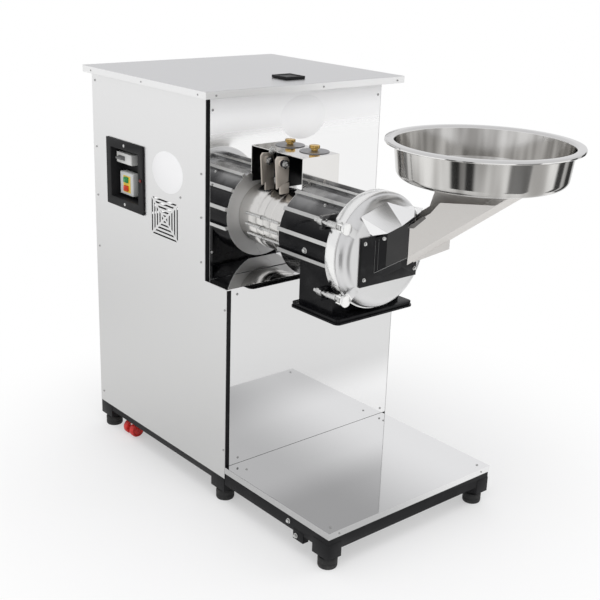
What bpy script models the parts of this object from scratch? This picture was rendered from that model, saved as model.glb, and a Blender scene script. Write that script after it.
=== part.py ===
"""Pulverizer: a stainless steel cabinet mill with a ribbed grinding chamber, a round lid and a feed bowl.

Metres, +Z up, front towards -Y. The cabinet's front-left lower corner is at x = 0, y = 0 while the
pieces are modelled. One empty carries them all, and puts the middle of the outline at the world's origin.
"""
import bpy
import bmesh
import math
from mathutils import Matrix, Vector

# Clearances and sheets
GAP = 0.0003
CLEAR = 0.01
SHEET = 0.0012
COVER_SHEET = 0.0015

# Cabinet
CABINET_WIDTH = 0.526
CABINET_DEPTH = 0.565
STEP_DEPTH = 0.082
COVER_HEIGHT = 0.965
UPPER_HEIGHT = 0.430
PANEL_BOTTOM = 0.067
CORNER_STRIP = 0.013
COVER_LIP = 0.0165
COVER_LEFT = 0.024
COVER_RIGHT = 0.042
COVER_FRONT = 0.035
POST = 0.020
WELD = 0.0005
INSET = 0.0004

# Base frame, platform, feet and castors
RAIL_BOTTOM = 0.050
RAIL_TOP = 0.0952
RAIL_WIDTH = 0.030
LEG_WIDTH = 0.038
LEG_LENGTH = 0.052
LEG_BOTTOM = 0.030
LEG_PROUD = 0.0008
PLATFORM_LENGTH = 0.369
PLATFORM_SHORT = 0.012
PLATFORM_LIP = 0.016
FOOT_RADIUS = 0.022
BRACKET_LENGTH = 0.034
BRACKET_DROP = 0.018
BRACKET_FROM_FRONT = 0.083
CASTOR_RADIUS = 0.019
CASTOR_TREAD = 0.017
CASTOR_FORK = 0.012
CASTOR_FLOOR_GAP = 0.002
CASTOR_FROM_BACK = 0.124
CASTOR_INSET = 0.024
CASTOR_AXLE = 0.004

# Grinding chamber
AXIS_X = 0.241
AXIS_OVER_SHELF = 0.107
CHAMBER_BACK = -0.015
CHAMBER_LENGTH = 0.181
BARREL_RADIUS = 0.109
BARREL_WALL = 0.011
RIB_COUNT = 15
RIB_HEIGHT = 0.007
RIB_WIDTH = 0.009
RIB_FIRST = 338.0
RIB_LAST = 562.0
RIB_PHASE = 2.0
BACK_WALL = 0.012
SHAFT_HOLE = 0.030
DUCT_HALF_WIDTH = 0.101
DUCT_WALL = 0.007
DUCT_START = 0.020
DUCT_BACK = -0.084
MOUTH_HALF_WIDTH = 0.117
MOUTH_FRONT = -0.230
MOUTH_BACK = -0.070
MOUTH_UNDER_AXIS = 0.149
MOUTH_BEAD = 0.009

# Neck, bearings and shaft
NECK_RADIUS = 0.106
NECK_BORE = 0.094
NECK_GROOVE = 0.004
GROOVE_AT = 0.034
GROOVE_WIDTH = 0.005
HOUSING_RADIUS = 0.060
HOUSING_BEFORE_PULLEY = 0.037
HOUSING_FLANGE = 0.085
BEARING_RADIUS = 0.040
BEARING_WIDTH = 0.021
SHAFT_RADIUS = 0.0175
SHAFT_STEP = 0.0035
MOUNT_PLATE = 0.010
MOUNT_PLATE_HALF_HEIGHT = 0.112

# Rotor, beaters and sieve
ROTOR_RADIUS = 0.072
ROTOR_DISC = 0.012
ROTOR_AT = -0.062
ROTOR_NUT = 0.012
BEATER_COUNT = 6
BEATER_LENGTH = 0.085
BEATER_WIDTH = 0.012
BEATER_CLEARANCE = 0.006
SIEVE_SHEET = 0.0015
SIEVE_HALF_ANGLE = 76.0
SIEVE_ROWS = 5
SIEVE_COLUMNS = 5
SIEVE_HOLE = 0.0042

# Lid and its hinge
LID_RADIUS = 0.130
LID_BAND = 0.030
LID_DEPTH = 0.0545
LID_STEP = 0.003
LID_FLAT_RADIUS = 0.102
LID_FACE_WALL = 0.007
LID_BORE = 0.096
HINGE_X = 0.165
HINGE_Y = -0.206
HINGE_PIN_RADIUS = 0.004
HINGE_KNUCKLE_RADIUS = 0.010
HINGE_KNUCKLE = 0.026
HINGE_CHEEK = 0.013
HINGE_LEAF = 0.009

# Swing bolts that close the lid
UPPER_CLAMP = (-0.1185, 0.0705)
LOWER_CLAMP = (-0.1130, -0.0880)
EAR_RADIUS = 0.013
EAR_THICKNESS = 0.007
SWING_PIN_BACK = 0.019
SWING_PIN_RADIUS = 0.0025
SWING_PIN_LENGTH = 0.024
EYE_RADIUS = 0.0068
EYE_WIDTH = 0.0096
CLEVIS_CHEEK = 0.004
BOLT_RADIUS = 0.0045
SLEEVE_RADIUS = 0.0070
LUG_THICKNESS = 0.008
LUG_BACK_OF_LID = 0.012
LUG_PRONG = 0.006
LUG_REACH = 0.012
LUG_SLACK = 0.0005
NUT_RADIUS = 0.0085
NUT_LENGTH = 0.016
BOLT_TIP = 0.011

# Feed plate, chute and gate
FEED_PLATE_WIDTH = 0.170
FEED_PLATE_HEIGHT = 0.108
FEED_PLATE_THICKNESS = 0.004
FEED_PLATE_DROP = 0.009
CHUTE_X = 0.005
CHUTE_ANGLE = 45.0
CHUTE_WIDTH = 0.065
CHUTE_SLOPE = 34.8
CHUTE_WALL = 0.091
THROAT_SLOPE = 29.2
THROAT_HEIGHT = 0.099
THROAT_LENGTH = 0.0365
SEAM_UNDER_AXIS = 0.0192
CHUTE_FOLD = 0.021
CHUTE_FOLD_IN = 0.014
CHUTE_LENGTH = 0.270
OPEN_LENGTH = 0.0785
CHUTE_RISE = 0.018
NEAR_WALL_UNDER_BOWL = 0.045
NEAR_WALL_END = 0.210
NEAR_LIP = 0.002
THROAT_WALL = 0.0025
CHUTE_SHEET = 0.0012
GATE_AT = 0.048
GATE_SHEET = 0.0015
GATE_HANDLE = 0.010

# Feed bowl
BOWL_RADIUS = 0.187
BOWL_FLANGE = 0.020
BOWL_DEPTH = 0.079
BOWL_OVER_AXIS = 0.170
BOWL_TAPER = 0.007
BOWL_CORNER = 0.018
BOWL_SHEET = 0.0012
BOWL_ALONG_CHUTE = 0.180
BOWL_OUTLET = 0.030
OUTLET_OFFSET = 0.046

# Guard over the neck and its grease cup
GUARD_X0 = 0.200
GUARD_WIDTH = 0.110
GUARD_OVER_AXIS = 0.168
GUARD_SHEET = 0.0015
DISC_RADIUS = 0.035
DISC_SHEET = 0.0015
CUP_RADIUS = 0.012
CUP_HEIGHT = 0.013
CUP_STEM = 0.006
CUP_SETBACK = 0.044
LUG_PLATE = 0.005
LUG_PLATE_Y = 0.055
LUG_BOLT = 0.0045
GUARD_SKIRT = 0.078

# Control recess
RECESS_FROM_BACK = 0.235
RECESS_WIDTH = 0.168
RECESS_UNDER_TOP = 0.333
RECESS_HEIGHT = 0.167
BEZEL = 0.022
BEZEL_PROUD = 0.0045
RECESS_DEPTH = 0.034
POCKET_WALL = 0.003
BREAKER_WIDTH = 0.068
BREAKER_HEIGHT = 0.026
BREAKER_DEPTH = 0.022
BREAKER_FROM_SIDE = 0.050
BREAKER_FROM_TOP = 0.012
TOGGLE_RADIUS = 0.005
TOGGLE_REACH = 0.010
STATION_WIDTH = 0.060
STATION_HEIGHT = 0.056
STATION_DEPTH = 0.020
STATION_FROM_SIDE = 0.047
STATION_FROM_BOTTOM = 0.008
BUTTON_WIDTH = 0.018
BUTTON_HEIGHT = 0.013
BUTTON_PROUD = 0.005
BUTTON_TRAVEL = 0.003
LAMP_RADIUS = 0.004

# Ventilation
VENT_FROM_BACK = 0.320
VENT_UNDER_TOP = 0.322
VENT_WIDTH = 0.110
VENT_HEIGHT = 0.090
VENT_RINGS = 5
VENT_SLOT_SHARE = 0.45
VENT_WEB = 0.004
LOUVRE_COUNT = 8
LOUVRE_PITCH = 0.020
LOUVRE_SLOT = 0.006
LOUVRE_WIDTH = 0.160

# Mains cable gland
GLAND_BORE = 0.0045
GLAND_THREAD = 0.008
GLAND_NUT = 0.013
GLAND_LENGTH = 0.018
GLAND_FROM_RIGHT = 0.070
GLAND_Z = 0.130

# Drive
MOTOR_Z = 0.235
MOTOR_RADIUS = 0.088
MOTOR_LENGTH = 0.170
MOTOR_FROM_BACK = 0.079
MOTOR_SHAFT_HEIGHT = 0.112
FIN_COUNT = 16
FIN_HEIGHT = 0.008
MOTOR_SHAFT = 0.012
FAN_COWL = 0.050
MOTOR_PULLEY = 0.075
SHAFT_PULLEY = 0.035
PULLEY_BEFORE_MOTOR = 0.041
PULLEY_WIDTH = 0.022
BELT_WIDTH = 0.010
BELT_DEPTH = 0.008
BELT_CLEARANCE = 0.0007

# Black plastic plug in the cover
PLUG_SIZE = 0.056
PLUG_HEIGHT = 0.007
PLUG_X = 0.250
PLUG_FROM_FRONT = 0.066

SHELF_HEIGHT = COVER_HEIGHT - UPPER_HEIGHT
PLATFORM_WIDTH = CABINET_WIDTH - PLATFORM_SHORT
AXIS_Z = SHELF_HEIGHT + AXIS_OVER_SHELF
MOUTH_BOTTOM = AXIS_Z - MOUTH_UNDER_AXIS
BOWL_BOTTOM = AXIS_Z + BOWL_OVER_AXIS
GUARD_TOP = AXIS_Z + GUARD_OVER_AXIS
RECESS_Y0 = CABINET_DEPTH - RECESS_FROM_BACK
RECESS_Z0 = COVER_HEIGHT - RECESS_UNDER_TOP
VENT_Y = CABINET_DEPTH - VENT_FROM_BACK
VENT_Z = COVER_HEIGHT - VENT_UNDER_TOP
MOTOR_FRONT = CABINET_DEPTH - MOTOR_FROM_BACK - MOTOR_LENGTH
PULLEY_Y = MOTOR_FRONT - PULLEY_BEFORE_MOTOR
HOUSING_END = PULLEY_Y - HOUSING_BEFORE_PULLEY
CHAMBER_FRONT = CHAMBER_BACK - CHAMBER_LENGTH
LID_BACK = CHAMBER_FRONT - GAP
LID_FACE = LID_BACK - LID_DEPTH
PANEL_TOP = COVER_HEIGHT - COVER_SHEET - GAP
PLATFORM_FRONT = -PLATFORM_LENGTH
PLATFORM_TOP = RAIL_TOP + GAP + COVER_SHEET
BOWL_RIM_RADIUS = BOWL_RADIUS + BOWL_FLANGE
SLOPE = math.tan(math.radians(CHUTE_SLOPE))
THROAT_RISE = math.tan(math.radians(THROAT_SLOPE))
CHUTE_DIRECTION = Vector((math.sin(math.radians(CHUTE_ANGLE)), -math.cos(math.radians(CHUTE_ANGLE)), 0.0))
CHUTE_ACROSS = Vector((math.cos(math.radians(CHUTE_ANGLE)), math.sin(math.radians(CHUTE_ANGLE)), 0.0))
CHUTE_START = Vector((AXIS_X + CHUTE_X, LID_FACE - GAP - FEED_PLATE_THICKNESS - GAP, 0.0))
BOWL_CENTRE = CHUTE_START + CHUTE_DIRECTION * BOWL_ALONG_CHUTE

# The outline's middle, which the carrying empty brings to the world's origin
OUTLINE_LEFT = -COVER_LEFT
OUTLINE_RIGHT = BOWL_CENTRE.x + BOWL_RIM_RADIUS
OUTLINE_FRONT = BOWL_CENTRE.y - BOWL_RIM_RADIUS
COVER_BACK = CABINET_DEPTH + GAP + COVER_SHEET
OUTLINE_BACK = CABINET_DEPTH + GLAND_LENGTH
CENTRE = Vector(((OUTLINE_LEFT + OUTLINE_RIGHT) / 2, (OUTLINE_FRONT + OUTLINE_BACK) / 2, 0.0))

X_AXIS = Vector((1, 0, 0))
Y_AXIS = Vector((0, 1, 0))
Z_AXIS = Vector((0, 0, 1))

for old in list(bpy.data.objects):
    bpy.data.objects.remove(old, do_unlink=True)

PARTS = bpy.data.collections.new("pulverizer")
CUTTERS = bpy.data.collections.new("cutters")
bpy.context.scene.collection.children.link(PARTS)
bpy.context.scene.collection.children.link(CUTTERS)

CARRIER = bpy.data.objects.new("carrier", None)
CARRIER.location = -CENTRE
PARTS.objects.link(CARRIER)


def finish(name, colour, roughness, metallic):
    """A plain material in the piece's own colour."""
    material = bpy.data.materials.new(name)
    material.use_nodes = True
    shader = material.node_tree.nodes["Principled BSDF"]
    shader.inputs["Base Color"].default_value = (*colour, 1.0)
    shader.inputs["Roughness"].default_value = roughness
    shader.inputs["Metallic"].default_value = metallic
    material.diffuse_color = (*colour, 1.0)
    return material


FINISHES = {
    "brushed": ((0.62, 0.62, 0.61), 0.32, 1.0),
    "mirror": ((0.82, 0.82, 0.82), 0.06, 1.0),
    "polished": ((0.78, 0.77, 0.76), 0.15, 1.0),
    "black_paint": ((0.02, 0.02, 0.02), 0.35, 0.0),
    "black_plastic": ((0.03, 0.03, 0.03), 0.5, 0.0),
    "rubber": ((0.02, 0.02, 0.02), 0.8, 0.0),
    "zinc": ((0.75, 0.75, 0.74), 0.28, 1.0),
    "brass": ((0.72, 0.52, 0.2), 0.25, 1.0),
    "steel": ((0.45, 0.45, 0.45), 0.4, 1.0),
    "cast_grey": ((0.25, 0.27, 0.29), 0.6, 0.2),
    "white_plastic": ((0.85, 0.85, 0.83), 0.4, 0.0),
    "grey_plastic": ((0.5, 0.5, 0.5), 0.4, 0.0),
    "red": ((0.75, 0.05, 0.04), 0.4, 0.0),
    "green": ((0.05, 0.5, 0.12), 0.4, 0.0),
}


def place(name, data, kind, pivot=(0, 0, 0), turn=None):
    """One named piece, carried by the empty, with its origin at the pivot."""
    piece = bpy.data.objects.new(name, data)
    piece.parent = CARRIER
    piece.location = Vector(pivot)
    if turn is not None:
        piece.rotation_mode = "QUATERNION"
        piece.rotation_quaternion = turn
    if kind is None:
        CUTTERS.objects.link(piece)
        piece.hide_render = True
        piece.display_type = "WIRE"
    else:
        PARTS.objects.link(piece)
        data.materials.clear()
        data.materials.append(finish(name, *FINISHES[kind]))
    return piece


def to_mesh(bm, name):
    """A bmesh becomes mesh data, with round sides shaded smooth."""
    bmesh.ops.recalc_face_normals(bm, faces=bm.faces)
    mesh = bpy.data.meshes.new(name)
    bm.to_mesh(mesh)
    bm.free()
    mesh.shade_smooth()
    mesh.set_sharp_from_angle(angle=math.radians(35))
    return mesh


def box_into(bm, low, high):
    """A box from its lowest to its highest corner, added to a bmesh."""
    low, high = Vector(low), Vector(high)
    made = bmesh.ops.create_cube(bm, size=1.0)["verts"]
    size = high - low
    bmesh.ops.scale(bm, vec=size, verts=made)
    bmesh.ops.translate(bm, vec=(low + high) / 2, verts=made)


def facing(face, way):
    """Whether a face of a box looks this way."""
    return face.normal.dot(way) * 2 > 1


def block(name, low, high, kind, pivot=(0, 0, 0), round_edge=0.0, segments=2):
    """A squared piece, with rounded edges where asked."""
    bm = bmesh.new()
    box_into(bm, Vector(low) - Vector(pivot), Vector(high) - Vector(pivot))
    piece = place(name, to_mesh(bm, name), kind, pivot)
    if round_edge:
        soften(piece, round_edge, segments)
    return piece


def soften(piece, width, segments=2, angle=40):
    """A bevel on the edges that are sharper than the angle."""
    bevel = piece.modifiers.new("edge", "BEVEL")
    bevel.width = width
    bevel.segments = segments
    bevel.limit_method = "ANGLE"
    bevel.angle_limit = math.radians(angle)
    return piece


def turned(name, profile, centre, axis, kind, steps=32, closed=False):
    """A turned piece: (radius, height) points, top to bottom on the outer side, spun round the axis."""
    bm = bmesh.new()
    corners = [bm.verts.new((radius, 0.0, height)) for radius, height in profile]
    for start, end in zip(corners, corners[1:]):
        bm.edges.new((start, end))
    if closed:
        bm.edges.new((corners[-1], corners[0]))
    mesh = bpy.data.meshes.new(name)
    bm.to_mesh(mesh)
    bm.free()
    turn = Vector((0, 0, 1)).rotation_difference(Vector(axis))
    piece = place(name, mesh, kind, centre, turn)
    screw = piece.modifiers.new("spin", "SCREW")
    screw.steps = steps
    screw.render_steps = steps
    screw.use_merge_vertices = True
    screw.merge_threshold = 0.00002
    return piece


def rod(name, start, end, radius, kind, steps=20):
    """A round bar from start to end."""
    start, end = Vector(start), Vector(end)
    profile = [(0.0, (end - start).length), (radius, (end - start).length), (radius, 0.0), (0.0, 0.0)]
    return turned(name, profile, start, end - start, kind, steps)


def outline(name, loops, half, kind, centre, turn):
    """A flat piece cut from sheet or plate: closed outlines, the inner ones being holes."""
    curve = bpy.data.curves.new(name, "CURVE")
    curve.dimensions = "2D"
    curve.fill_mode = "BOTH"
    curve.extrude = half
    for loop in loops:
        spline = curve.splines.new("POLY")
        spline.points.add(len(loop) - 1)
        for point, (across, along) in zip(spline.points, loop):
            point.co = (across, along, 0.0, 1.0)
        spline.use_cyclic_u = True
    carrier = place(name + "_outline", curve, None, centre, turn)
    bpy.context.view_layer.update()
    mesh = bpy.data.meshes.new_from_object(carrier.evaluated_get(bpy.context.evaluated_depsgraph_get()))
    bpy.data.objects.remove(carrier, do_unlink=True)
    bm = bmesh.new()
    bm.from_mesh(mesh)
    bmesh.ops.remove_doubles(bm, verts=bm.verts, dist=0.000001)
    return place(name, to_mesh(bm, name), kind, centre, turn)


# Turns that stand a flat outline up: its X and Y run along the named axes of the machine
FACING_LEFT = Matrix(((0, 0, -1), (-1, 0, 0), (0, 1, 0))).to_quaternion()
FACING_FRONT = Matrix(((1, 0, 0), (0, 0, -1), (0, 1, 0))).to_quaternion()
FACING_UP = Matrix.Identity(3).to_quaternion()


def combine(piece, other, operation):
    """An exact Boolean with another piece or a cutter."""
    boolean = piece.modifiers.new(operation.lower(), "BOOLEAN")
    boolean.operation = operation
    boolean.solver = "EXACT"
    boolean.object = other
    return piece


def cut(piece, *cutters):
    for cutter in cutters:
        combine(piece, cutter, "DIFFERENCE")
    return piece


def join(piece, *others):
    for other in others:
        combine(piece, other, "UNION")
    return piece


def arc(centre, radius, start, end, steps):
    """Points of an arc, in degrees, both ends included."""
    points = []
    for step in range(steps + 1):
        angle = math.radians(start + (end - start) * step / steps)
        points.append((centre[0] + radius * math.cos(angle), centre[1] + radius * math.sin(angle)))
    return points


def rectangle(x0, x1, y0, y1):
    return [(x0, y0), (x1, y0), (x1, y1), (x0, y1)]


def base_frame():
    """Welded black tube: a ring under the cabinet, a ring under the platform, and six short legs."""
    left, right = SHEET + GAP, CABINET_WIDTH - SHEET - GAP
    back = CABINET_DEPTH - SHEET - GAP
    front = PLATFORM_FRONT + COVER_SHEET + GAP
    platform_right = PLATFORM_WIDTH - COVER_SHEET - GAP
    platform_left = COVER_SHEET + GAP
    middle = SHEET + GAP
    outer = [(platform_left, front), (platform_right, front), (platform_right, middle), (right, middle),
             (right, back), (left, back), (left, middle), (platform_left, middle)]
    under_cabinet = rectangle(left + RAIL_WIDTH, right - RAIL_WIDTH, middle + RAIL_WIDTH, back - RAIL_WIDTH)
    under_platform = rectangle(platform_left + RAIL_WIDTH, platform_right - RAIL_WIDTH,
                               front + RAIL_WIDTH, middle + WELD)
    centre = (0, 0, (RAIL_BOTTOM + RAIL_TOP) / 2)
    frame = outline("base_frame", [outer, under_cabinet, under_platform], (RAIL_TOP - RAIL_BOTTOM) / 2,
                    "black_paint", centre, FACING_UP)
    corners = []
    for x, y, side_x, side_y in leg_corners():
        x2, y2 = x + side_x * LEG_WIDTH, y + side_y * LEG_LENGTH
        corners.append(((min(x, x2), min(y, y2), LEG_BOTTOM), (max(x, x2), max(y, y2), PANEL_BOTTOM - GAP)))
    bracket_front = PLATFORM_FRONT + BRACKET_FROM_FRONT
    corners.append(((platform_left - LEG_PROUD, bracket_front, RAIL_BOTTOM - BRACKET_DROP),
                    (platform_left + RAIL_WIDTH / 2, bracket_front + BRACKET_LENGTH, RAIL_BOTTOM + 0.006)))
    return join(frame, boxes("legs", corners))


def leg_corners():
    """The outer corner of each leg, and the ways it runs from there."""
    left = SHEET + GAP - LEG_PROUD
    right = CABINET_WIDTH - SHEET - GAP + LEG_PROUD
    back = CABINET_DEPTH - SHEET - GAP + LEG_PROUD
    front = PLATFORM_FRONT + COVER_SHEET + GAP - LEG_PROUD
    platform_left = COVER_SHEET + GAP - LEG_PROUD
    platform_right = PLATFORM_WIDTH - COVER_SHEET - GAP + LEG_PROUD
    middle = SHEET + GAP + LEG_PROUD
    return [(platform_left, front, 1, 1), (platform_right, front, -1, 1), (left, middle, 1, 1),
            (right, middle, -1, 1), (left, back, 1, -1), (right, back, -1, -1)]


def feet():
    """Round rubber feet under the legs."""
    names = ["front_left", "front_right", "middle_left", "middle_right", "rear_left", "rear_right"]
    top = LEG_BOTTOM - GAP
    profile = [(0.0, top), (FOOT_RADIUS * 0.9, top), (FOOT_RADIUS, top * 0.8), (FOOT_RADIUS, top * 0.15),
               (FOOT_RADIUS * 0.93, 0.0), (0.0, 0.0)]
    for name, (x, y, side_x, side_y) in zip(names, leg_corners()):
        centre = (x + side_x * (FOOT_RADIUS + 0.001), y + side_y * LEG_LENGTH / 2, 0)
        turned("foot_" + name, profile, centre, (0, 0, 1), "rubber", 16)


def castors():
    """A fork with a twin wheel under each side rail near the back, a little above the floor."""
    y = CABINET_DEPTH - CASTOR_FROM_BACK
    z = CASTOR_FLOOR_GAP + CASTOR_RADIUS
    for side, x in (("left", CASTOR_INSET), ("right", CABINET_WIDTH - CASTOR_INSET)):
        half = CASTOR_FORK / 2
        fork = block("castor_fork_" + side, (x - 0.008, y - half, z - 0.008), (x + 0.008, y + half, RAIL_BOTTOM - GAP),
                     "zinc", round_edge=0.002)
        cut(fork, rod("fork_bore_" + side, (x, y - half - 0.01, z), (x, y + half + 0.01, z), CASTOR_AXLE + GAP,
                      None, 16))
        inner = half + GAP
        outer = inner + CASTOR_TREAD
        crown = CASTOR_RADIUS * 0.86
        profile = [(0.0, outer + 0.002), (0.006, outer + 0.002), (0.006, outer), (crown, outer),
                   (CASTOR_RADIUS, outer - 0.004), (CASTOR_RADIUS, inner + 0.003), (crown, inner),
                   (CASTOR_AXLE, inner), (CASTOR_AXLE, -inner), (crown, -inner),
                   (CASTOR_RADIUS, -inner - 0.003), (CASTOR_RADIUS, -outer + 0.004), (crown, -outer),
                   (0.006, -outer), (0.006, -outer - 0.002), (0.0, -outer - 0.002)]
        turned("castor_wheel_" + side, profile, (x, y, z), (0, 1, 0), "red", 16)


def cabinet_frame():
    """Welded square posts with a ring at the top and rails round the shelf."""
    left, right = SHEET + GAP, CABINET_WIDTH - SHEET - GAP
    front, back = SHEET + GAP, CABINET_DEPTH - SHEET - GAP
    upper = STEP_DEPTH + SHEET + GAP
    floor = RAIL_TOP + GAP
    shelf = SHELF_HEIGHT - SHEET - GAP
    top = PANEL_TOP
    ring_outer = rectangle(left, right, upper, back)
    ring_inner = rectangle(left + POST, right - POST, upper + POST, back - POST)
    frame = outline("cabinet_frame", [ring_outer, ring_inner], POST / 2, "black_paint",
                    (0, 0, top - POST / 2), FACING_UP)
    bars = []
    for side, x0, x1 in (("left", left + WELD, left + POST), ("right", right - POST, right - WELD)):
        bars.append(boxes("posts_" + side, [((x0, front, floor), (x1, front + POST, shelf))]))
        bars.append(boxes("post_upper_" + side, [((x0, upper + WELD, shelf - POST / 2),
                                                  (x1, upper + POST - WELD, top - POST / 2))]))
        bars.append(boxes("post_back_" + side, [((x0, back - POST, floor), (x1, back - WELD, top - POST / 2))]))
        bars.append(boxes("shelf_rail_" + side, [((x0 + WELD, front + WELD, shelf - POST),
                                                  (x1 - WELD, upper + POST - 2 * WELD, shelf - WELD))]))
    for name, y in (("front", front + 2 * WELD), ("back", upper + 3 * WELD)):
        bars.append(boxes("shelf_cross_" + name, [((left + POST / 2, y, shelf - POST - WELD),
                                                   (right - POST / 2, y + POST - 6 * WELD, shelf - 2 * WELD))]))
    return join(frame, *bars)


def side_outline():
    """The stepped side of the cabinet, seen from the left: front to the right."""
    top = PANEL_TOP
    return [(-CABINET_DEPTH, PANEL_BOTTOM), (0, PANEL_BOTTOM), (0, SHELF_HEIGHT), (-STEP_DEPTH, SHELF_HEIGHT),
            (-STEP_DEPTH, top), (-CABINET_DEPTH, top)]


def vent_cutter(name, x):
    """Nested square slots that leave a cross of diagonal webs and a solid middle."""
    bm = bmesh.new()
    for ring in range(VENT_RINGS):
        outer = (VENT_RINGS - ring) / VENT_RINGS
        inner = outer - VENT_SLOT_SHARE / VENT_RINGS
        for quarter in range(4):
            half, other = (VENT_WIDTH / 2, VENT_HEIGHT / 2) if quarter % 2 else (VENT_HEIGHT / 2, VENT_WIDTH / 2)
            corners = []
            for share in (outer, inner):
                reach = max(other * share - VENT_WEB, 0.001)
                corners.append((half * share, reach))
            ring_verts = []
            for depth in (-0.01, 0.01):
                for (height, reach), sign in ((corners[0], -1), (corners[0], 1), (corners[1], 1), (corners[1], -1)):
                    flat = Vector((sign * reach, height))
                    angle = quarter * math.pi / 2
                    y = flat.x * math.cos(angle) - flat.y * math.sin(angle)
                    z = flat.x * math.sin(angle) + flat.y * math.cos(angle)
                    ring_verts.append(bm.verts.new((x + depth, VENT_Y + y, VENT_Z + z)))
            near, far = ring_verts[:4], ring_verts[4:]
            bm.faces.new(near)
            bm.faces.new(list(reversed(far)))
            for index in range(4):
                after = (index + 1) % 4
                bm.faces.new((near[index], near[after], far[after], far[index]))
    return place(name, to_mesh(bm, name), None)


def side_panels():
    """Two stepped sheets; the left one also has the opening for the switches."""
    for side, x in (("left", SHEET / 2), ("right", CABINET_WIDTH - SHEET / 2)):
        panel = outline("side_panel_" + side, [side_outline()], SHEET / 2, "brushed", (x, 0, 0), FACING_LEFT)
        cut(panel, vent_cutter("vent_slots_" + side, x))
        if side == "left":
            y0, z0 = RECESS_Y0 + BEZEL / 2, RECESS_Z0 + BEZEL / 2
            y1, z1 = RECESS_Y0 + RECESS_WIDTH - BEZEL / 2, RECESS_Z0 + RECESS_HEIGHT - BEZEL / 2
            cut(panel, block("recess_opening", (-0.01, y0, z0), (0.01, y1, z1), None))


def front_panels():
    """The upper front stands back behind a shelf; the lower front and the shelf are one folded sheet."""
    right = CABINET_WIDTH - SHEET - GAP
    upper = outline("upper_front_panel",
                    [rectangle(CORNER_STRIP, right, SHELF_HEIGHT + GAP, PANEL_TOP),
                     arc((AXIS_X, AXIS_Z), NECK_RADIUS + GAP, 0, 352.5, 47)],
                    SHEET / 2, "mirror", (0, STEP_DEPTH + SHEET / 2, 0), FACING_FRONT)
    bm = bmesh.new()
    bottom = PLATFORM_TOP + GAP
    rows = []
    for y, z in ((0, bottom), (0, SHELF_HEIGHT), (STEP_DEPTH + SHEET, SHELF_HEIGHT)):
        rows.append([bm.verts.new((x, y, z)) for x in (SHEET + GAP, right)])
    for lower, higher in zip(rows, rows[1:]):
        bm.faces.new((lower[0], lower[1], higher[1], higher[0]))
    mesh = bpy.data.meshes.new("lower_front_panel")
    bm.to_mesh(mesh)
    bm.free()
    lower = place("lower_front_panel", mesh, "mirror")
    wall = lower.modifiers.new("sheet", "SOLIDIFY")
    wall.thickness = SHEET
    wall.offset = -1.0
    cut(lower, block("strip_notch", (0, -0.01, 0), (CORNER_STRIP, 0.01, SHELF_HEIGHT - 0.003), None))
    return upper, lower


def rear_panel():
    """A flat sheet with two columns of cooling slots and the hole for the cable gland."""
    panel = outline("rear_panel", [rectangle(SHEET + GAP, CABINET_WIDTH - SHEET - GAP, PANEL_BOTTOM, PANEL_TOP)],
                    SHEET / 2, "brushed", (0, CABINET_DEPTH - SHEET / 2, 0), FACING_FRONT)
    bm = bmesh.new()
    for base in (MOTOR_Z - LOUVRE_COUNT * LOUVRE_PITCH / 2, AXIS_Z - LOUVRE_COUNT * LOUVRE_PITCH / 2):
        for row in range(LOUVRE_COUNT):
            z = base + row * LOUVRE_PITCH
            box_into(bm, (AXIS_X - LOUVRE_WIDTH / 2, CABINET_DEPTH - 0.01, z),
                     (AXIS_X + LOUVRE_WIDTH / 2, CABINET_DEPTH + 0.01, z + LOUVRE_SLOT))
    cut(panel, place("louvre_slots", to_mesh(bm, "louvre_slots"), None))
    x, z = gland_place()
    cut(panel, rod("gland_hole", (x, CABINET_DEPTH - 0.02, z), (x, CABINET_DEPTH + 0.02, z),
                   GLAND_THREAD + GAP, None, 24))
    return panel


def gland_place():
    return CABINET_WIDTH - GLAND_FROM_RIGHT, GLAND_Z


def cable_gland():
    """The black gland where the mains cable enters."""
    x, z = gland_place()
    profile = [(GLAND_BORE, GLAND_LENGTH), (GLAND_NUT * 0.8, GLAND_LENGTH), (GLAND_NUT, GLAND_LENGTH * 0.6),
               (GLAND_NUT, GAP), (GLAND_THREAD, GAP), (GLAND_THREAD, -GLAND_LENGTH * 0.7),
               (GLAND_BORE, -GLAND_LENGTH * 0.7)]
    return turned("cable_gland", profile, (x, CABINET_DEPTH, z), (0, 1, 0), "black_plastic", 16, closed=True)


def cover():
    """A folded lid over the cabinet that overhangs on all sides, with a plastic plug in it."""
    left, right = -COVER_LEFT, CABINET_WIDTH + COVER_RIGHT
    front, back = STEP_DEPTH - COVER_FRONT, COVER_BACK
    bm = bmesh.new()
    box_into(bm, (left, front, COVER_HEIGHT - COVER_LIP), (right, back, COVER_HEIGHT))
    under = [face for face in bm.faces if facing(face, -Z_AXIS)]
    bmesh.ops.delete(bm, geom=under, context="FACES")
    mesh = bpy.data.meshes.new("cover")
    bm.to_mesh(mesh)
    bm.free()
    top = place("cover", mesh, "brushed")
    wall = top.modifiers.new("sheet", "SOLIDIFY")
    wall.thickness = COVER_SHEET
    wall.offset = -1.0
    wall.use_even_offset = True
    y = front + PLUG_FROM_FRONT
    low = (PLUG_X, y, COVER_HEIGHT + GAP)
    high = (PLUG_X + PLUG_SIZE, y + PLUG_SIZE, COVER_HEIGHT + PLUG_HEIGHT)
    block("cover_plug", low, high, "black_plastic", round_edge=0.0015)


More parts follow.
